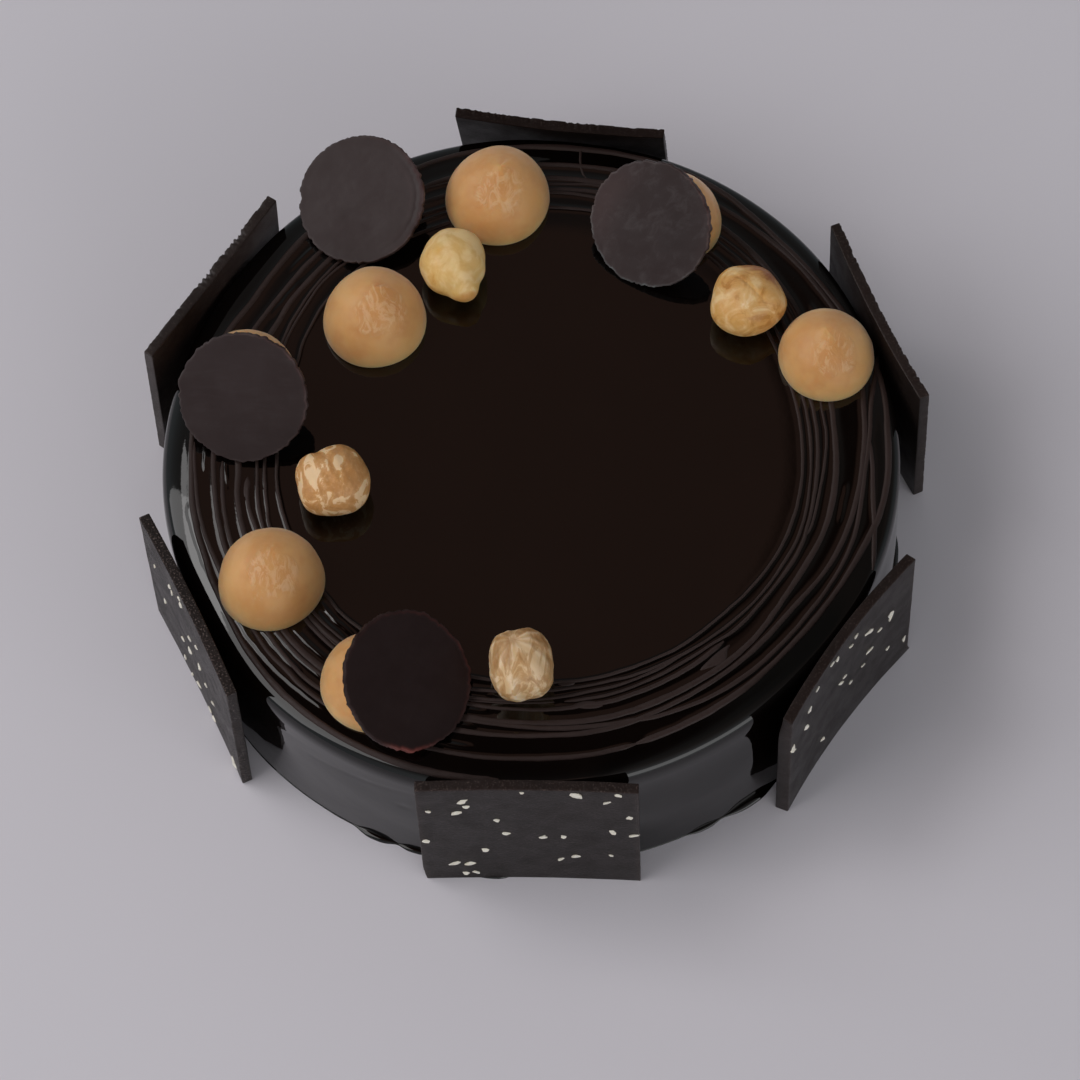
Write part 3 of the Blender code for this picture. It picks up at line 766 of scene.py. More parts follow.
def build_dome(node):
    x0, y0, radius, height, lean_x, lean_y, peak, seed = DOMES[node]
    low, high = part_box(node)
    if height is None:
        height = high[2] - low[2]
    base = HEIGHT - 0.00015
    turns, rings = 112, 72
    waist = 0.0011
    verts, faces = [], []
    ripple = rng(40 + seed).uniform(0, 2 * math.pi, 3)
    verts.append((0, 0, 0))
    upper = int(rings * 0.80)
    for i in range(1, rings + 1):
        if i <= upper:
            a = i / upper * math.pi / 2
            r = radius * math.sin(a)
            z = waist + (height - waist) * math.cos(a) ** (2.0 / 1.8)
            near = max(0.0, 1.0 - r / (0.45 * radius))
            z += peak * height * near * near
        else:
            g = (i - upper) / (rings - upper)
            a = g * math.pi / 2
            r = radius * (1.0 - 0.06 * (1.0 - math.cos(a)) * 1.2)
            z = waist * (1.0 - math.sin(a))
        for j in range(turns):
            t = 2 * math.pi * j / turns
            rr = r * (1.0 + 0.009 * math.sin(2 * t + ripple[0]) + 0.006 * math.sin(3 * t + ripple[1])
                      + 0.004 * math.sin(5 * t + ripple[2]))
            x, y, zz = rr * math.cos(t), rr * math.sin(t), z
            soft = fbm(x * 260 + seed * 5, y * 260, zz * 260, 3)
            small = fbm(x * 900 + seed * 9, y * 900, zz * 900, 2)
            share = min(1.0, zz / (0.25 * height))
            push = (0.00010 * soft + 0.00003 * small) * share
            if seed in CREASES:                       # soft fold running down from the peak
                at, depth = CREASES[seed]
                bend = at + 900.0 * rr
                gap = (math.degrees(t) - bend + 180) % 360 - 180
                fold = math.exp(-(gap / 16.0) ** 2) - 0.6 * math.exp(-((gap - 30.0) / 22.0) ** 2)
                reach = max(0.0, 1.0 - rr / (0.80 * radius)) * min(1.0, rr / (0.10 * radius))
                push += depth * MM * fold * reach
            n = Vector((x / radius, y / radius, zz / height + 0.2)).normalized()
            up = (zz / height) ** 2
            px, py = x0 + x + lean_x * up + n.x * push, y0 + y + lean_y * up + n.y * push
            settle = min(0.0022, droop(math.hypot(px, py), math.degrees(math.atan2(py, px)))) * (1.0 - zz / height) ** 3
            verts.append((px, py, base - settle + zz + n.z * push))
    top_z = sum(verts[1 + j][2] for j in range(turns)) / turns
    verts[0] = (x0 + lean_x, y0 + lean_y, top_z + 0.00002)
    for j in range(turns):
        faces.append((0, 1 + j, 1 + (j + 1) % turns))
    for i in range(rings - 1):
        for j in range(turns):
            a, b = 1 + i * turns + j, 1 + i * turns + (j + 1) % turns
            faces.append((a, a + turns, b + turns, b))
    start = 1 + (rings - 1) * turns
    faces.append(tuple(start + (turns - 1 - j) for j in range(turns)))
    # where the painted highlight patch sits on each dome
    patch = (x0 + 0.12 * radius, y0 - 0.30 * radius, HEIGHT + 0.75 * height, 0.92 * radius)
    size = {"dome_2": 0.40, "dome_3": 0.46, "dome_1": 0.20}.get(node, 0.10)
    stain = (x0 + 0.72 * radius, y0 + 0.40 * radius, HEIGHT + 0.45 * height, size * radius)
    material = caramel_material("caramel_" + node[-1], seed, patch, stain)
    obj = make("caramel_" + node, verts, faces, material)
    return piece(obj, "caramel", node)


# -------------------------------------------------------------------- discs
def bell(value, middle, half):
    return math.exp(-((value - middle) / half) ** 2)


def wrap(a):
    return (a + 180.0) % 360.0 - 180.0


def disc_face(node, rho, az):
    """(height in mm, tint) of a disc's upper face; az is a world direction."""
    lift, tint = 0.0, [1.0, 1.0, 1.0]

    def shade(amount, r, g, b):
        tint[0] *= 1 + amount * (r - 1)
        tint[1] *= 1 + amount * (g - 1)
        tint[2] *= 1 + amount * (b - 1)

    rim_highlight = bell(rho, 0.988, 0.015) * (0.75 + 0.60 * bell(wrap(az + 50), 0, 75))
    broken = 0.55 + 0.45 * math.sin(math.radians(az) * 5.0 + 11.0 * rho) * math.sin(math.radians(az) * 13.0)
    shade(1.05 * rim_highlight * broken, 2.2, 2.75, 2.75)               # painted highlight: a pale broken rim where the bevel catches the light
    # lips are broken up along the edge, as where a cutter dragged
    torn = 0.55 + 0.45 * fbm(6.0 * math.cos(math.radians(az)), 6.0 * math.sin(math.radians(az)), 9.0, 3)
    if node == "disc_4":
        right = bell(wrap(az - 5), 0, 52) * torn
        lift += 0.11 * bell(rho, 0.95, 0.035) * right
        lift -= 0.05 * bell(rho, 0.885, 0.022) * bell(wrap(az + 12), 0, 48)
        shade(0.60 * right * (rho > 0.93), 1.75, 1.05, 1.05)
        shade(0.55 * bell(rho, 0.80, 0.022) * bell(wrap(az + 8), 0, 45), 1.40, 1.36, 1.36)
        # painted sheen: lighter and bluer towards the front of the face
        shade(0.30 * bell(rho, 0.62, 0.30) * bell(wrap(az + 95), 0, 60), 1.45, 1.50, 1.55)
        marks = 0.5 + 0.5 * math.sin(math.radians(az) * 46)
        shade(0.30 * marks * bell(rho, 0.88, 0.07) * bell(wrap(az + 55), 0, 26), 1.35, 1.3, 1.3)
    elif node == "disc_1":
        right = bell(wrap(az - 8), 0, 42) * torn
        lift += 0.10 * bell(rho, 0.965, 0.025) * right
        shade(0.75 * right * bell(rho, 0.985, 0.014), 1.5, 0.72, 0.62)
        # painted highlight: a pale, broken rim along the left and lower edge
        shade(0.90 * bell(rho, 0.980, 0.014) * bell(wrap(az - 225), 0, 75) * (0.45 + 0.75 * torn), 2.1, 2.9, 2.9)
        shade(0.50 * bell(rho, 0.93, 0.05) * bell(wrap(az + 25), 0, 42), 1.35, 1.32, 1.33)
        # painted highlight: a pale haze over the upper left of the face
        shade(0.85 * bell(rho, 0.86, 0.28) * bell(wrap(az - 140), 0, 46), 1.90, 1.88, 1.86)
        shade(0.45 * bell(rho, 0.45, 0.25) * bell(wrap(az + 20), 0, 60), 0.74, 0.72, 0.72)
    elif node == "disc_2":
        lift += 0.06 * bell(rho, 0.965, 0.03) * bell(wrap(az - 20), 0, 50) * torn
        shade(0.55 * bell(rho, 0.98, 0.020) * bell(wrap(az - 20), 0, 70) * torn, 2.0, 1.2, 1.15)
    elif node == "disc_3":
        shade(1.0, 1.10, 0.90, 0.86)
        right = bell(wrap(az - 12), 0, 50) * torn
        lift += 0.15 * bell(rho, 0.965, 0.022) * right - 0.06 * bell(rho, 0.915, 0.016) * right
        shade(0.85 * right * bell(rho, 0.965, 0.018), 3.2, 1.9, 1.7)
        foot = bell(wrap(az + 86), 0, 17)
        shade(0.95 * foot * bell(rho, 0.975, 0.026), 9.0, 4.6, 4.2)
        shade(0.80 * bell(rho, 0.965, 0.018) * bell(wrap(az - 95), 0, 60) * torn, 2.6, 1.5, 1.35)
    return lift, tint


def disc_edge(node, az, seed):
    """Outline of a disc as a share of its radius."""
    t = math.radians(az)
    out = 1.0 + 0.004 * math.sin(2 * t + seed) + 0.0030 * math.sin(5 * t + 2 * seed)
    out += 0.0110 * fbm(3.2 * math.cos(t), 3.2 * math.sin(t), seed * 3.0, 3)
    out += 0.0240 * fbm(11 * math.cos(t), 11 * math.sin(t), seed * 5.0, 4)
    out -= 0.0200 * max(0.0, fbm(30 * math.cos(t), 30 * math.sin(t), seed * 7.0, 2) - 0.05)
    if node == "disc_4":
        out -= 0.022 * bell(wrap(az - 172), 0, 5)
        out -= 0.014 * bell(wrap(az - 168), 0, 3)
        out = min(out, 1.004)
    if node == "disc_1":
        out -= 0.014 * bell(wrap(az - 72), 0, 6)
        out -= 0.010 * bell(wrap(az + 118), 0, 8)
    if node == "disc_2":
        out += 0.022 * bell(wrap(az - 158), 0, 5) - 0.012 * bell(wrap(az - 136), 0, 7)
    if node == "disc_3":
        out += 0.014 * bell(wrap(az - 12), 0, 16) - 0.010 * bell(wrap(az - 48), 0, 8)
        out += 0.026 * bell(wrap(az + 84), 0, 6) + 0.012 * bell(wrap(az + 97), 0, 3)
    return out


def build_disc(node, seed, scratch_deg, streaky, level):
    x, y, radius, tilt, slope = DISCS[node]
    low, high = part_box(node)
    t, a = math.radians(tilt), math.radians(slope)
    normal = Vector((math.sin(t) * math.cos(a), math.sin(t) * math.sin(a), math.cos(t)))
    turn = Matrix.Rotation(a, 3, "Z") @ Matrix.Rotation(t, 3, "Y")
    centre = Vector((x, y, 0)) - normal * (DISC_T / 2)
    centre.z = 0.5 * (low[2] + high[2]) - 0.00035
    turns, rings = 240, 54
    half = DISC_T / 2
    verts, tints, faces = [], [], []

    def put(r, phi, z, tint):
        verts.append(centre + turn @ Vector((r * math.cos(phi), r * math.sin(phi), z)))
        tints.append(tint)

    def shape(rho, j):
        phi = 2 * math.pi * j / turns
        az = math.degrees(phi) + slope
        edge = disc_edge(node, az, seed)
        return phi, az, radius * edge

    put(0, 0, half, (1, 1, 1))
    for i in range(1, rings + 1):
        rho = (i / rings) ** 0.8 * 0.985
        for j in range(turns):
            phi, az, rad = shape(rho, j)
            lift, tint = disc_face(node, rho, az)
            px, py = rho * rad * math.cos(phi), rho * rad * math.sin(phi)
            wave = 0.05 * fbm(px * 120, py * 120, seed * 2.0, 3) + 0.012 * fbm(px * 700, py * 700, seed, 2)
            put(rho * rad, phi, half + (lift + wave) * MM, tint)
    # rounded, slightly broken edge down to the flat under-face
    profile = ((0.996, 0.86), (1.0, 0.45), (0.998, -0.1), (1.0, -0.55), (0.993, -0.92), (0.97, -1.0))
    for share, part in profile:
        for j in range(turns):
            phi, az, rad = shape(1.0, j)
            lift, tint = disc_face(node, 0.99, az)
            rough = 0.0045 * fbm(30 * math.cos(phi), 30 * math.sin(phi), part * 4 + seed, 2)
            put(rad * (share + rough), phi, half * part + max(0.0, part) * lift * MM, tint)
    for rho in (0.7, 0.35):
        for j in range(turns):
            phi, az, rad = shape(1.0, j)
            put(rad * rho, phi, -half, (1, 1, 1))
    put(0, 0, -half, (1, 1, 1))
    count = (len(verts) - 2) // turns
    for i in range(count - 1):
        for j in range(turns):
            p, q = 1 + i * turns + j, 1 + i * turns + (j + 1) % turns
            faces.append((p, p + turns, q + turns, q))
    last = 1 + (count - 1) * turns
    for j in range(turns):
        faces.append((0, 1 + j, 1 + (j + 1) % turns))
        faces.append((len(verts) - 1, last + (j + 1) % turns, last + j))
    material = disc_material("disc_chocolate_" + node[-1], scratch_deg, streaky, level, seed)
    obj = make("chocolate_" + node, verts, faces, material, True, tints)
    return piece(obj, "disc_chocolate", node)


# ---------------------------------------------------------------- hazelnuts
# node: centre, half sizes (x, y, z), outline waves (n, mm, angle of crest)
NUTS = {
    "hazelnut_1": (-0.0159, 0.0496, 0.0080, 0.0089, 0.0077, ((3, 0.22, 57), (4, 0.16, 29), (6, 0.12, -10))),
    "hazelnut_2": (0.0551, 0.0341, 0.0092, 0.0090, 0.0078, ((3, 0.32, -15), (5, 0.15, -22))),
    "hazelnut_3": (-0.0476, -0.0084, 0.0091, 0.0088, 0.0078, ((4, 0.38, -34), (5, 0.22, 2), (3, 0.10, 70))),
    "hazelnut_4": (-0.0050, -0.0598, 0.0079, 0.0091, 0.0078, ((4, 0.38, -40), (6, 0.10, 15))),
}


def build_nut(node, seed, material):
    x0, y0, hx, hy, hz, waves = NUTS[node]
    low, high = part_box(node)
    cz = HEIGHT - 0.0001 + 0.93 * hz
    turns, rings = 128, 96
    verts, tints, faces = [], [], []
    for i in range(rings + 1):
        polar = math.pi * i / rings
        for j in range(turns):
            t = 2 * math.pi * j / turns
            d = Vector((math.sin(polar) * math.cos(t), math.sin(polar) * math.sin(t), math.cos(polar)))
            flat = math.sin(polar)
            deg = math.degrees(t)
            r = 1.0
            for n, size, crest in waves:
                r += size * MM / hx * math.cos(n * math.radians(deg - crest)) * flat**2
            tint = [1.0, 1.0, 1.0]
            r += 0.012 * fbm(d.x * 2.2 + seed * 3, d.y * 2.2, d.z * 2.2, 3)
            if node == "hazelnut_1":
                tip = Vector((math.cos(math.radians(-72)), math.sin(math.radians(-72)), -0.18)).normalized()
                c = d.dot(tip)
                r += 0.15 * max(0.0, (c - 0.80) / 0.20) ** 1.6
                flank = tip.cross(Vector((0, 0, 1))).normalized()
                side = math.atan2(d.dot(flank), d.dot(flank.cross(tip)))
                r += 0.014 * abs(math.sin(2.5 * side + 0.4)) * max(0.0, 1 - abs(c)) ** 0.5
                r += 0.022 * math.exp(-((side - 0.55) / 0.16) ** 2) * max(0.0, 1 - abs(c)) ** 0.5
                r += 0.030 * math.exp(-((d.x + 0.75) / 0.3) ** 2 - ((d.y + 0.25) / 0.35) ** 2)
                r += 0.012 * math.sin(9 * d.y + 5 * d.x) * flat
                tipped = min(1.0, 2.2 * max(0.0, (c - 0.92) / 0.08))
                spot = math.exp(-((d.x + 0.42) / 0.10) ** 2 - ((d.y + 0.02) / 0.14) ** 2) * max(0.0, d.z)
                tint = [1 - 0.12 * tipped, 1 - 0.30 * tipped - 0.10 * spot, 1 - 0.42 * tipped - 0.38 * spot]
            elif node == "hazelnut_2":
                r += 0.016 * math.sin(5 * t + 2.0 + 2.0 * d.z) * flat
                crease = bell(d.x * 0.75 + d.y * 0.66 - 0.05, 0, 0.05) * max(0.0, d.z)
                r -= 0.022 * crease
                skin = 1.0 / (1.0 + math.exp(-(d.x * 0.62 + d.y * 0.70 + d.z * 0.344 - 0.80
                                                + 0.10 * fbm(d.x * 4, d.y * 4, d.z * 4)) / 0.035))
                tint = [1 - 0.42 * skin, 1 - 0.60 * skin, 1 - 0.66 * skin]
                r += 0.012 * skin
                # painted highlight: a pale bluish-white glint placed where the camera sees it on the nut
                light = math.exp(-((d.x + 0.10) / 0.16) ** 2 - ((d.y * 0.898 + d.z * 0.4405 - 0.12) / 0.34) ** 2)
                tint = [t * (1 + k * light) for t, k in zip(tint, (0.10, 0.28, 0.75))]
            elif node == "hazelnut_3":
                lobe = abs(math.sin(2.5 * t + 0.4 + 0.9 * d.z))
                r += 0.026 * (lobe - 0.55) * flat**1.4
                notch = bell(wrap(deg - 118), 0, 9) * flat**3
                r -= 0.065 * notch
                r -= 0.02 * bell(math.hypot(d.x - 0.05, d.y - 0.1), 0, 0.16) * max(0.0, d.z)
                r += 0.008 * math.sin(26 * (d.x * 0.8 + d.y * 0.35) + 3.0 * d.z) * max(0.0, d.z)
            else:
                hub = Vector((-0.20, 0.37, 0.905))
                side_x = Vector((1, 0, 0)) - hub * hub.x
                side_x.normalize()
                side_y = hub.cross(side_x)
                around = math.atan2(d.dot(side_y), d.dot(side_x))
                away = math.acos(max(-1.0, min(1.0, d.dot(hub))))
                front = 0.45 + 0.55 * max(0.0, -math.sin(around)) ** 0.6
                wave = 11 * around + 1.4 * math.sin(2.3 * around) + 1.1 * fbm(d.x * 3.0, d.y * 3.0, d.z * 3.0, 2)
                spoke = (1.0 - 1.8 * abs(math.sin(0.5 * wave))) * (0.65 + 0.35 * math.sin(3 * around + 1.0))
                r += 0.0260 * spoke * front * min(1.0, away / 0.55) * math.exp(-(away / 2.2) ** 4)
                r -= 0.035 * math.exp(-(away / 0.16) ** 2)
                r -= 0.015 * bell(wrap(deg - 100), 0, 12) * flat**2
                tan = 1.0 / (1.0 + math.exp(-(d.x * 0.75 + d.y * 0.65 - 0.55) / 0.07))
                dark = math.exp(-(away / 0.17) ** 2)
                tint = [1 - 0.10 * tan - 0.25 * dark, 1 - 0.20 * tan - 0.40 * dark, 1 - 0.30 * tan - 0.50 * dark]
                crest = min(1.0, max(0.0, 0.5 + 0.9 * spoke))
                rag = fbm(d.x * 5.0 + 3.0, d.y * 5.0, d.z * 5.0, 3)
                r += 0.014 * rag * flat
                tint = [tint[0] * (0.88 + 0.14 * crest), tint[1] * (0.80 + 0.24 * crest), tint[2] * (0.68 + 0.40 * crest)]
            x, y, z = r * hx * d.x, r * hy * d.y, r * hz * d.z
            z = max(z, -0.93 * hz)
            verts.append((x0 + x, y0 + y, cz + z))
            tints.append(tint)
    for i in range(rings):
        for j in range(turns):
            a, b = i * turns + j, i * turns + (j + 1) % turns
            faces.append((a, a + turns, b + turns, b))
    obj = make("nut_" + node[-1], verts, faces, material, True, tints)
    mesh = obj.data
    import bmesh
    bm = bmesh.new()
    bm.from_mesh(mesh)
    bmesh.ops.remove_doubles(bm, verts=bm.verts[:], dist=1e-7)
    bm.to_mesh(mesh)
    bm.free()
    mesh.shade_smooth()
    return piece(obj, "hazelnut", node)


# ------------------------------------------------------------------ plaques
def plaque_frame(node):
    foot_deg, face_deg, inner, lean, sag, extra = PLAQUES[node]
    t, turn, foot = math.radians(lean), math.radians(face_deg), math.radians(foot_deg)
    out = (inner + 0.5 * PLAQUE_T * math.cos(t)) / math.cos(foot - turn)
    origin = Vector((out * math.cos(foot), out * math.sin(foot), 0.5 * PLAQUE_T * math.sin(t)))
    rot = Matrix.Rotation(turn, 3, "Z") @ Matrix.Rotation(-t, 3, "Y")
    return origin, rot


def chips(seed, length, rate, depth):
    """Random nicks along an edge: returns depth (m) at a position along it."""
    r = rng(seed)
    n = int(rate * length / 0.01)
    at = r.uniform(-length / 2, length / 2, n)
    size = 0.00025 + 0.0008 * r.uniform(0.0, 1.0, n) ** 2
    deep = depth * r.uniform(0.15, 1.0, n) ** 2.5

    def at_edge(s):
        gap = np.abs(s - at) / size
        return float(np.max(np.where(gap < 1.0, deep * (1.0 - gap**3), 0.0))) if n else 0.0
    return at_edge


def build_plaque(node, seed, chip_depth, big=()):
    foot_deg, face_deg, inner, lean, sag, extra = PLAQUES[node]
    origin, rot = plaque_frame(node)
    tall = PLAQUE_H * (1 + extra)
    hx, hy, hz = PLAQUE_T / 2, PLAQUE_L / 2, tall / 2
    e = 0.00028

    def spread(half, cells, fine):
        edge = list(np.linspace(0, e, fine))[:-1]
        mid = list(np.linspace(e, 2 * half - e, cells))
        vals = edge + mid + [2 * half - v for v in reversed(edge)]
        return [v - half for v in vals]

    xs, ys, zs = spread(hx, 6, 4), spread(hy, 150, 4), spread(hz, 66, 4)
    nx, ny, nz = len(xs), len(ys), len(zs)
    outer_nick = chips(seed, PLAQUE_L, 17, chip_depth)
    side_nick = chips(seed + 50, PLAQUE_H, 9, 0.0004 if chip_depth > 0.0003 else 0.00012)
    index, verts, tints = {}, [], []

    def vert(i, j, k):
        key = (i, j, k)
        if key in index:
            return index[key]
        p = Vector((xs[i], ys[j], zs[k]))
        q = Vector((max(-hx + e, min(hx - e, p.x)), max(-hy + e, min(hy - e, p.y)), max(-hz + e, min(hz - e, p.z))))
        d = p - q
        if d.length > 1e-9 and sum(abs(c) > 1e-9 for c in d) > 1:
            scale = max(abs(c) for c in d)
            p = q + d.normalized() * scale
        y, z = p.y, p.z
        top = max(0.0, 1.0 - (hz - z) / 0.0022)
        outer = max(0.0, (p.x + hx) / (2 * hx))
        side = max(0.0, 1.0 - (hy - abs(y)) / 0.0016)
        nick = outer_nick(y)
        for at, half, deep in big:
            nick = max(nick, deep * max(0.0, 1.0 - abs((y - at) / half) ** 2.5))
        p.z -= nick * top * (0.06 + 0.94 * outer**3)
        p.x -= 0.7 * nick * top * outer**3
        rag = side_nick(z)
        p.y -= math.copysign(rag, y) * side * outer**4
        p.x -= 0.00014 * outer
        # hand-spread faces are never quite flat
        p.x += 0.00006 * fbm(y * 90 + seed * 7, z * 90, p.x * 50, 3)
        p.z += 0.00010 * fbm(y * 160 + seed, 3.0, 0.0, 2) * top
        if node == "plaque_2":
            # the near end is thicker lower down, where the chocolate bulged
            near = max(0.0, 1.0 - (y + hy) / 0.004)
            low = 1.0 - bell(z, hz, 0.006)
            p.x -= 0.0006 * near * low * (1 - outer)
            p.y -= 0.0009 * near * low * (1.0 - 0.8 * outer)
            foot = max(0.0, 1.0 - (z + hz) / 0.0035)
            p.y += 0.0011 * max(0.0, 1.0 - (hy - y) / 0.003) * foot**2
        if node == "plaque_1":
            foot = max(0.0, 1.0 - (z + hz) / 0.009)
            p.y += 0.0007 * foot**2 * max(0.0, 1.0 - (y + hy) / 0.01)
        if node == "plaque_4":
            p.x -= 0.00035 * outer * max(0.0, -y / hy) + 0.0002
        p.x += sag * (2 * y / PLAQUE_L) ** 2
        p.z += tall / 2
        # paler along the outer top edge and the outer ends of each plaque
        pale_edges = max(bell(outer, 1.0, 0.10) * max(0.0, 1.0 - (hz - z) / 0.0009), side * outer)
        cut = 1.0 if abs(zs[k] - hz) < e else 0.0
        base = 1.0 + 0.9 * pale_edges + 0.25 * cut
        if node == "plaque_5":
            base += 1.6 * (1.0 - outer) * (1.0 - cut)          # painted light: the back face is painted paler to stand in for the light it catches
        tints.append((base * (1.08 if cut else 1.0), base * (0.98 if cut else 1.0), base * (0.96 if cut else 1.0)))
        verts.append(origin + rot @ p)
        index[key] = len(verts) - 1
        return index[key]

    faces = []
    for j in range(ny - 1):
        for k in range(nz - 1):
            a = [vert(nx - 1, j, k), vert(nx - 1, j + 1, k), vert(nx - 1, j + 1, k + 1), vert(nx - 1, j, k + 1)]
            faces.append(tuple(a))
            a = [vert(0, j, k), vert(0, j, k + 1), vert(0, j + 1, k + 1), vert(0, j + 1, k)]
            faces.append(tuple(a))
    for i in range(nx - 1):
        for k in range(nz - 1):
            faces.append((vert(i, 0, k), vert(i + 1, 0, k), vert(i + 1, 0, k + 1), vert(i, 0, k + 1)))
            faces.append((vert(i, ny - 1, k), vert(i, ny - 1, k + 1), vert(i + 1, ny - 1, k + 1), vert(i + 1, ny - 1, k)))
        for j in range(ny - 1):
            faces.append((vert(i, j, 0), vert(i, j + 1, 0), vert(i + 1, j + 1, 0), vert(i + 1, j, 0)))
            faces.append((vert(i, j, nz - 1), vert(i + 1, j, nz - 1), vert(i + 1, j + 1, nz - 1), vert(i, j + 1, nz - 1)))
    # level and shine darken each plaque's copy of one chocolate to match the light it gets: painted shade, strongest on
    # plaque_4, whose inner face lies in shade
    level, grit, shine = {"plaque_1": (0.90, 0.30, 0.18), "plaque_2": (0.84, 0.22, 0.168), "plaque_4": (0.75, 0.15, 0.07),
                          "plaque_5": (1.0, 0.25, 0.26), "plaque_6": (0.84, 1.0, 0.168)}.get(node, (1.0, 0.25, 0.20))
    material = plaque_material("plaque_chocolate_" + node[-1], seed, level, grit, shine)
    obj = make("chocolate_" + node, verts, faces, material, True, tints)
    return piece(obj, "plaque_chocolate", node)


# flakes on the outer face: (along, up) in mm from the middle of the foot
FLAKES = {
    "plaque_1": [(-23.5, 40.5), (-24.6, 23.0), (-15.1, 46.1), (-14.4, 43.0), (-16.8, 39.4), (-7.5, 35.0), (-5.4, 27.1),
                 (-10.9, 17.3), (-18.5, 9.2), (-14.5, 9.1), (-16.0, 3.2), (-13.5, 3.7), (3.2, 25.0), (8.2, 25.5),
                 (7.2, 12.0), (10.8, 14.0), (19.2, 15.2), (19.8, 29.2), (24.9, 27.7), (24.0, 38.2), (18.6, 46.4),
                 (11.5, 50.0), (21.4, 50.8), (-1.1, 51.0)],
    "plaque_2": [(18.1, 34.0), (13.7, 32.6), (9.1, 39.0), (3.6, 46.5), (1.3, 44.5), (10.1, 27.1), (17.7, 15.4),
                 (24.2, 10.6), (7.6, 22.9), (-0.6, 30.6), (-2.3, 29.9), (2.6, 22.1), (-6.9, 49.4), (-4.5, 47.8),
                 (-17.0, 42.3), (-18.5, 35.0), (-9.6, 10.8), (-13.5, 47.4), (-25.4, 34.8), (-24.6, 33.6),
                 (-25.2, 36.2)],
    "plaque_6": [(-20.7, 35.1), (-10.7, 41.8), (-9.7, 40.3), (-17.6, 21.2), (-4.0, 47.9), (-3.3, 45.7), (-7.7, 18.1),
                 (-1.3, 30.4), (-3.1, 20.0), (3.8, 35.4), (-9.2, 5.1), (3.1, 23.4), (-5.3, 2.3), (-0.8, 4.6),
                 (6.1, 18.3), (10.1, 15.1), (5.6, 2.5), (7.9, 1.8), (20.6, 2.6), (21.4, 1.6)],
}
FLAKE_SIZE = {"plaque_1": {2: 1.3, 8: 1.5, 9: 1.3, 11: 1.3, 12: 1.3, 15: 1.4, 17: 1.1, 21: 1.9, 23: 0.6, 22: 0.8},
              "plaque_2": {0: 1.5, 2: 1.6, 5: 1.4, 17: 0.7}}


def build_flakes(node, seed, verts, faces):
    foot_deg, face_deg, inner, lean, sag, extra = PLAQUES[node]
    origin, rot = plaque_frame(node)
    r = rng(300 + seed)
    spots = FLAKES.get(node)
    if spots is None:                                   # the plaques at the back
        spots = []
        while len(spots) < 21:
            y, z = r.uniform(-24, 24), r.uniform(3, 44 if node == "plaque_4" else 49)
            if all(math.hypot(y - a, z - b) > 3.5 for a, b in spots):
                spots.append((y, z))
    sizes = FLAKE_SIZE.get(node, {})
    for number, (y, z) in enumerate(spots):
        grow = sizes.get(number, r.uniform(0.75, 1.2))
        long_, wide, thick = 0.00092 * grow * r.uniform(0.85, 1.25), 0.00064 * grow * r.uniform(0.8, 1.3), 0.00036
        spin = r.uniform(-0.7, 0.7)
        y_m = max(-PLAQUE_L / 2 + long_, min(PLAQUE_L / 2 - long_, y * MM))
        z_m = max(wide, min(PLAQUE_H * (1 + extra) - 0.8 * wide, z * MM))
        surf = PLAQUE_T / 2 - 0.00018 + sag * (2 * y_m / PLAQUE_L) ** 2
        tilt_a, tilt_b = r.uniform(-0.25, 0.25, 2)
        start = len(verts)
        n = 8
        jag = r.uniform(0.62, 1.30, n)
        for level, (share, depth) in enumerate(((1.0, -0.35), (1.02, 0.45), (0.84, 0.86), (0.40, 1.0))):
            for k in range(n):
                a = 2 * math.pi * k / n
                u, v = long_ * share * jag[k] * math.cos(a), wide * share * jag[k] * math.sin(a)
                uu, vv = u * math.cos(spin) - v * math.sin(spin), u * math.sin(spin) + v * math.cos(spin)
                lump = 0.15 * fbm(u * 2500 + number, v * 2500, seed, 2)
                w = thick * (depth + lump) + tilt_a * uu + tilt_b * vv
                verts.append(origin + rot @ Vector((surf + w, y_m + uu, z_m + vv)))
        top = len(verts)
        verts.append(origin + rot @ Vector((surf + thick * 1.02, y_m, z_m)))
        faces.extend(grid_faces(4, n, True, False, start))
        for k in range(n):
            faces.append((start + 3 * n + k, start + 3 * n + (k + 1) % n, top))
        faces.append(tuple(start + n - 1 - k for k in range(n)))


# ------------------------------------------------------------- stage, light
WORLD_BANDS = [(0.0, (0.33, 0.37, 0.39)), (0.50, (0.31, 0.345, 0.365)), (0.72, (0.17, 0.175, 0.175)),
               (0.835, (0.105, 0.085, 0.080)), (0.862, (0.235, 0.135, 0.105)), (0.9195, (0.235, 0.135, 0.105)),
               (0.932, (0.030, 0.018, 0.015)), (1.0, (0.030, 0.018, 0.015))]
WORLD_DIM = 0.12
WORLD_FILL = (0.42, 0.42, 0.43)
WORLD_FILL_DIR = (0.40, -0.90, 0.18)
WORLD_FILL_POWER = 3.0


def build_floor():
    size, cells = 3.0, 12
    verts, faces = [], []
    for i in range(cells + 1):
        for j in range(cells + 1):
            verts.append(((-1 + 2 * j / cells) * size, (-1 + 2 * i / cells) * size, 0.0))
    faces = grid_faces(cells + 1, cells + 1)
    obj = make("floor", verts, faces, floor_material())


def area_light(name, azimuth, elevation, distance, width, height, power, colour):
    a, e = math.radians(azimuth), math.radians(elevation)
    aim = Vector((math.cos(e) * math.cos(a), math.cos(e) * math.sin(a), math.sin(e)))
    data = bpy.data.lights.new(name, "AREA")
    data.shape = "RECTANGLE"
    data.size, data.size_y = width, height
    data.energy = power
    data.color = colour
    lamp = bpy.data.objects.new(name, data)
    lamp.location = aim * distance + Vector((0, 0, 0.03))
    lamp.rotation_euler = aim.to_track_quat("Z", "Y").to_euler()
    COL.objects.link(lamp)


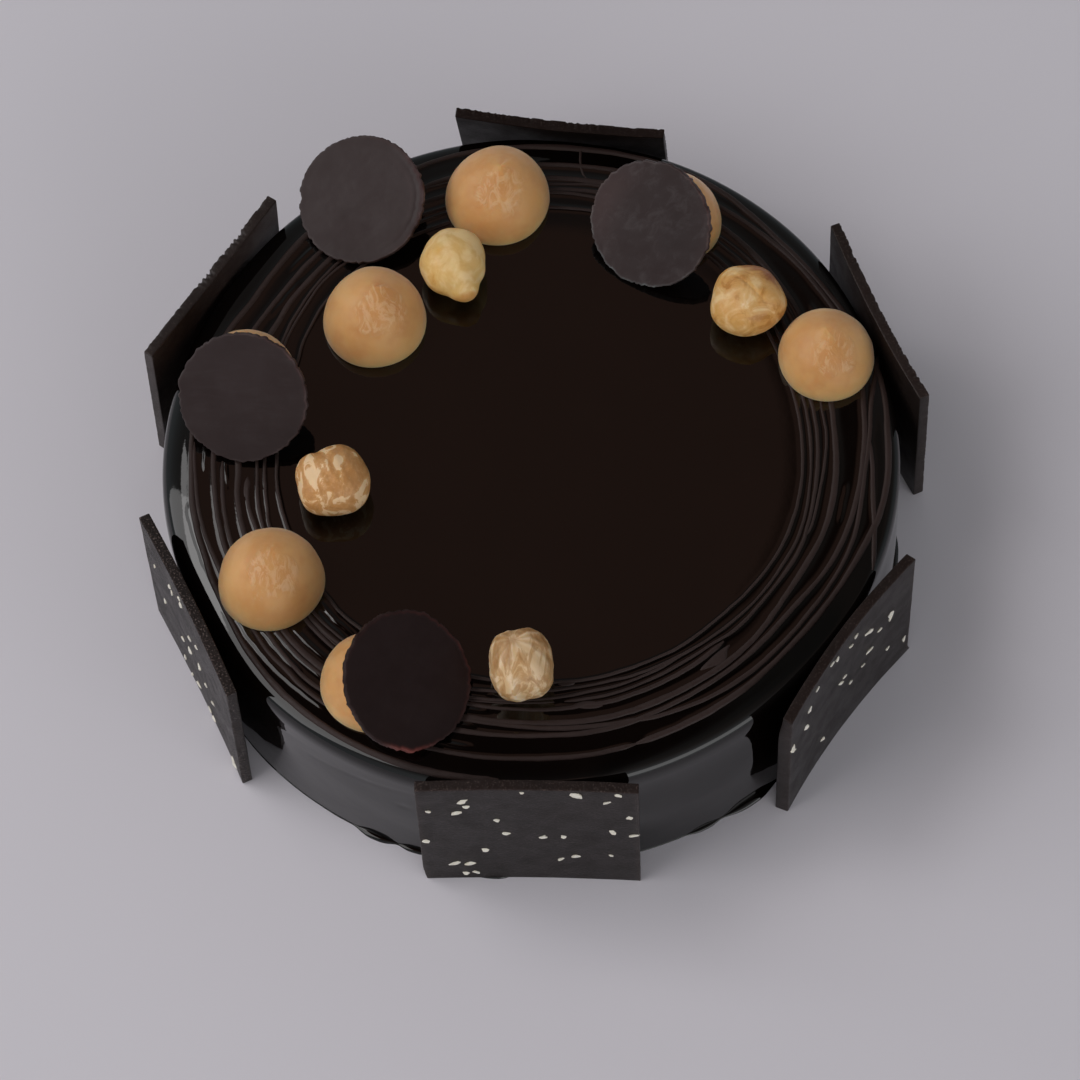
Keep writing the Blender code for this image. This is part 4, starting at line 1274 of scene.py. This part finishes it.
def build_world():
    """A dim studio: a faint warm ceiling behind, dark overhead, fill from the front."""
    world = bpy.data.worlds.new("studio")
    bpy.context.scene.world = world
    world.use_nodes = True
    tree = world.node_tree
    link = tree.links.new
    back = tree.nodes["Background"]
    coords = tree.nodes.new("ShaderNodeTexCoord")
    split = tree.nodes.new("ShaderNodeSeparateXYZ")
    link(coords.outputs["Generated"], split.inputs[0])

    def calc(kind, a, b=0.0, clamp=False):
        made = tree.nodes.new("ShaderNodeMath")
        made.operation, made.use_clamp = kind, clamp
        for value, socket in ((a, made.inputs[0]), (b, made.inputs[1])):
            if hasattr(value, "links"):
                link(value, socket)
            else:
                socket.default_value = value
        return made.outputs[0]

    def lobe(direction, power):
        d = Vector(direction).normalized()
        dot = calc("ADD", calc("ADD", calc("MULTIPLY", split.outputs["X"], d.x),
                               calc("MULTIPLY", split.outputs["Y"], d.y)), calc("MULTIPLY", split.outputs["Z"], d.z))
        return calc("POWER", calc("MAXIMUM", dot, 0.0), power)

    ramp = tree.nodes.new("ShaderNodeValToRGB")
    band = ramp.color_ramp.elements
    while len(band) < len(WORLD_BANDS):
        band.new(0.5)
    for element, (at, colour) in zip(band, WORLD_BANDS):
        element.position, element.color = at, (*colour, 1)
    link(split.outputs["Z"], ramp.inputs["Fac"])
    # darker towards the right, brighter towards the front
    dim = calc("SUBTRACT", 1.0, calc("MULTIPLY", lobe((1.0, 0.0, 0.35), 2.0), WORLD_DIM))
    # the warm patch of ceiling stops short of the right
    right = calc("MULTIPLY", calc("SUBTRACT", split.outputs["X"], 0.058), 20.0, True)
    high = calc("MULTIPLY", calc("SUBTRACT", split.outputs["Z"], 0.825), 25.0, True)
    dim = calc("MULTIPLY", dim, calc("SUBTRACT", 1.0, calc("MULTIPLY", calc("MULTIPLY", right, high), 0.85)))
    scaled = tree.nodes.new("ShaderNodeVectorMath")
    scaled.operation = "SCALE"
    link(ramp.outputs["Color"], scaled.inputs[0])
    link(dim, scaled.inputs["Scale"])
    fill = tree.nodes.new("ShaderNodeVectorMath")
    fill.operation = "SCALE"
    fill.inputs[0].default_value = WORLD_FILL
    link(lobe(WORLD_FILL_DIR, WORLD_FILL_POWER), fill.inputs["Scale"])
    total = tree.nodes.new("ShaderNodeVectorMath")
    total.operation = "ADD"
    link(scaled.outputs[0], total.inputs[0])
    link(fill.outputs[0], total.inputs[1])
    # a faint cool patch of ceiling high on the right
    beyond = calc("MULTIPLY", calc("SUBTRACT", split.outputs["X"], 0.13), 15.0, True)
    above = calc("MULTIPLY", calc("SUBTRACT", split.outputs["Z"], 0.80), 20.0, True)
    below = calc("MULTIPLY", calc("SUBTRACT", 0.975, split.outputs["Z"]), 40.0, True)
    patch = tree.nodes.new("ShaderNodeVectorMath")
    patch.operation = "SCALE"
    patch.inputs[0].default_value = (0.058, 0.062, 0.060)
    link(calc("MULTIPLY", beyond, calc("MULTIPLY", above, below)), patch.inputs["Scale"])
    sky = tree.nodes.new("ShaderNodeVectorMath")
    sky.operation = "ADD"
    link(total.outputs[0], sky.inputs[0])
    link(patch.outputs[0], sky.inputs[1])
    link(sky.outputs[0], back.inputs["Color"])
    back.inputs["Strength"].default_value = 1.0


def build_camera():
    data = bpy.data.cameras.new("camera")
    data.sensor_width = 36.0
    data.lens = 36.0 * 5000.0 / 1080.0
    data.clip_start, data.clip_end = 0.05, 20.0
    pitch, roll = math.radians(63.86), math.radians(-3.41)
    forward = Vector((0, math.cos(pitch), -math.sin(pitch)))
    right = Vector((1, 0, 0))
    up = Vector((0, math.sin(pitch), math.cos(pitch)))
    c, s = math.cos(roll), math.sin(roll)
    right, up = c * right + s * up, -s * right + c * up
    aim = Vector((0.013 * RADIUS, -0.020 * RADIUS, 0.0))
    spot = aim - forward * (13.897 * RADIUS)
    cam = bpy.data.objects.new("camera", data)
    rot = Matrix((right, up, -forward)).transposed()
    cam.matrix_world = Matrix.Translation(spot) @ rot.to_4x4()
    COL.objects.link(cam)
    bpy.context.scene.camera = cam


# --------------------------------------------------------------------- build
paths = thread_paths()
glaze = glaze_material()
build_glaze(paths, glaze)
build_foot(glaze)
build_threads(paths, thread_material())
for dome_node in DOMES:
    build_dome(dome_node)
# level scales each disc's copy of one chocolate to how bright it looks under the lights: painted shade, deepest on
# disc_3
for number, (disc_node, scratch, streaky, level) in enumerate((("disc_1", 34, 1.0, 0.80), ("disc_2", -6, 0.40, 0.76),
                                                               ("disc_3", 60, 0.12, 0.42), ("disc_4", 30, 0.25, 0.90))):
    build_disc(disc_node, 1.0 + number, scratch, streaky, level)

build_nut("hazelnut_1", 1, nut_material("nut_cream", (0.66, 0.36, 0.095), (0.75, 0.475, 0.165), (0.84, 0.60, 0.29),
                                        (0.42, 0.62), 160.0, (1, 1, 1), 0, 1))
build_nut("hazelnut_2", 2, nut_material("nut_tan", (0.52, 0.235, 0.055), (0.68, 0.37, 0.115), (0.82, 0.57, 0.28),
                                        (0.48, 0.68), 190.0, (1, 1, 1), 0, 2))
build_nut("hazelnut_3", 3, nut_material("nut_caramel", (0.53, 0.255, 0.085), (0.62, 0.32, 0.115), (0.84, 0.59, 0.34),
                                        (0.525, 0.575), 270.0, (1.0, 0.50, 1.0), 28, 3))
build_nut("hazelnut_4", 4, nut_material("nut_pale", (0.47, 0.27, 0.12), (0.60, 0.375, 0.185), (0.80, 0.60, 0.38),
                                        (0.47, 0.555), 280.0, (1.15, 0.36, 0.9), 6, 4))

build_plaque("plaque_1", 11, 0.00012)
build_plaque("plaque_2", 12, 0.00015)
build_plaque("plaque_3", 13, 0.00045)
build_plaque("plaque_4", 14, 0.00040)
build_plaque("plaque_5", 15, 0.00030, ((-0.0137, 0.0006, 0.0011), (-0.0124, 0.0008, 0.0009), (-0.0108, 0.0005, 0.0007),
                                       (-0.0092, 0.0006, 0.0005), (-0.0069, 0.0005, 0.0007), (-0.0005, 0.0007, 0.0010),
                                       (0.0009, 0.0006, 0.0008), (0.0026, 0.0006, 0.0006), (0.0041, 0.0005, 0.0004)))
build_plaque("plaque_6", 16, 0.00015)
flake_verts, flake_faces = [], []
for number, plaque_node in enumerate(PLAQUES):
    build_flakes(plaque_node, 1 + number, flake_verts, flake_faces)
piece(make("flakes", flake_verts, flake_faces, flake_material(), False), "hazelnut")

build_floor()
build_world()
area_light("key", -176.0, 42.0, 2.2, 2.3, 1.7, 25.5, (1.0, 0.985, 0.985))
area_light("back_left", 146.0, 57.0, 2.2, 0.85, 0.6, 4.2, (1.0, 0.985, 0.985))
area_light("front_fill", -58.0, 20.0, 2.2, 2.4, 1.0, 10.5, (1.0, 0.985, 0.980))
build_camera()

scene = bpy.context.scene
scene.view_settings.view_transform = "Standard"
scene.view_settings.look = "None"
scene.view_settings.exposure = 0.0
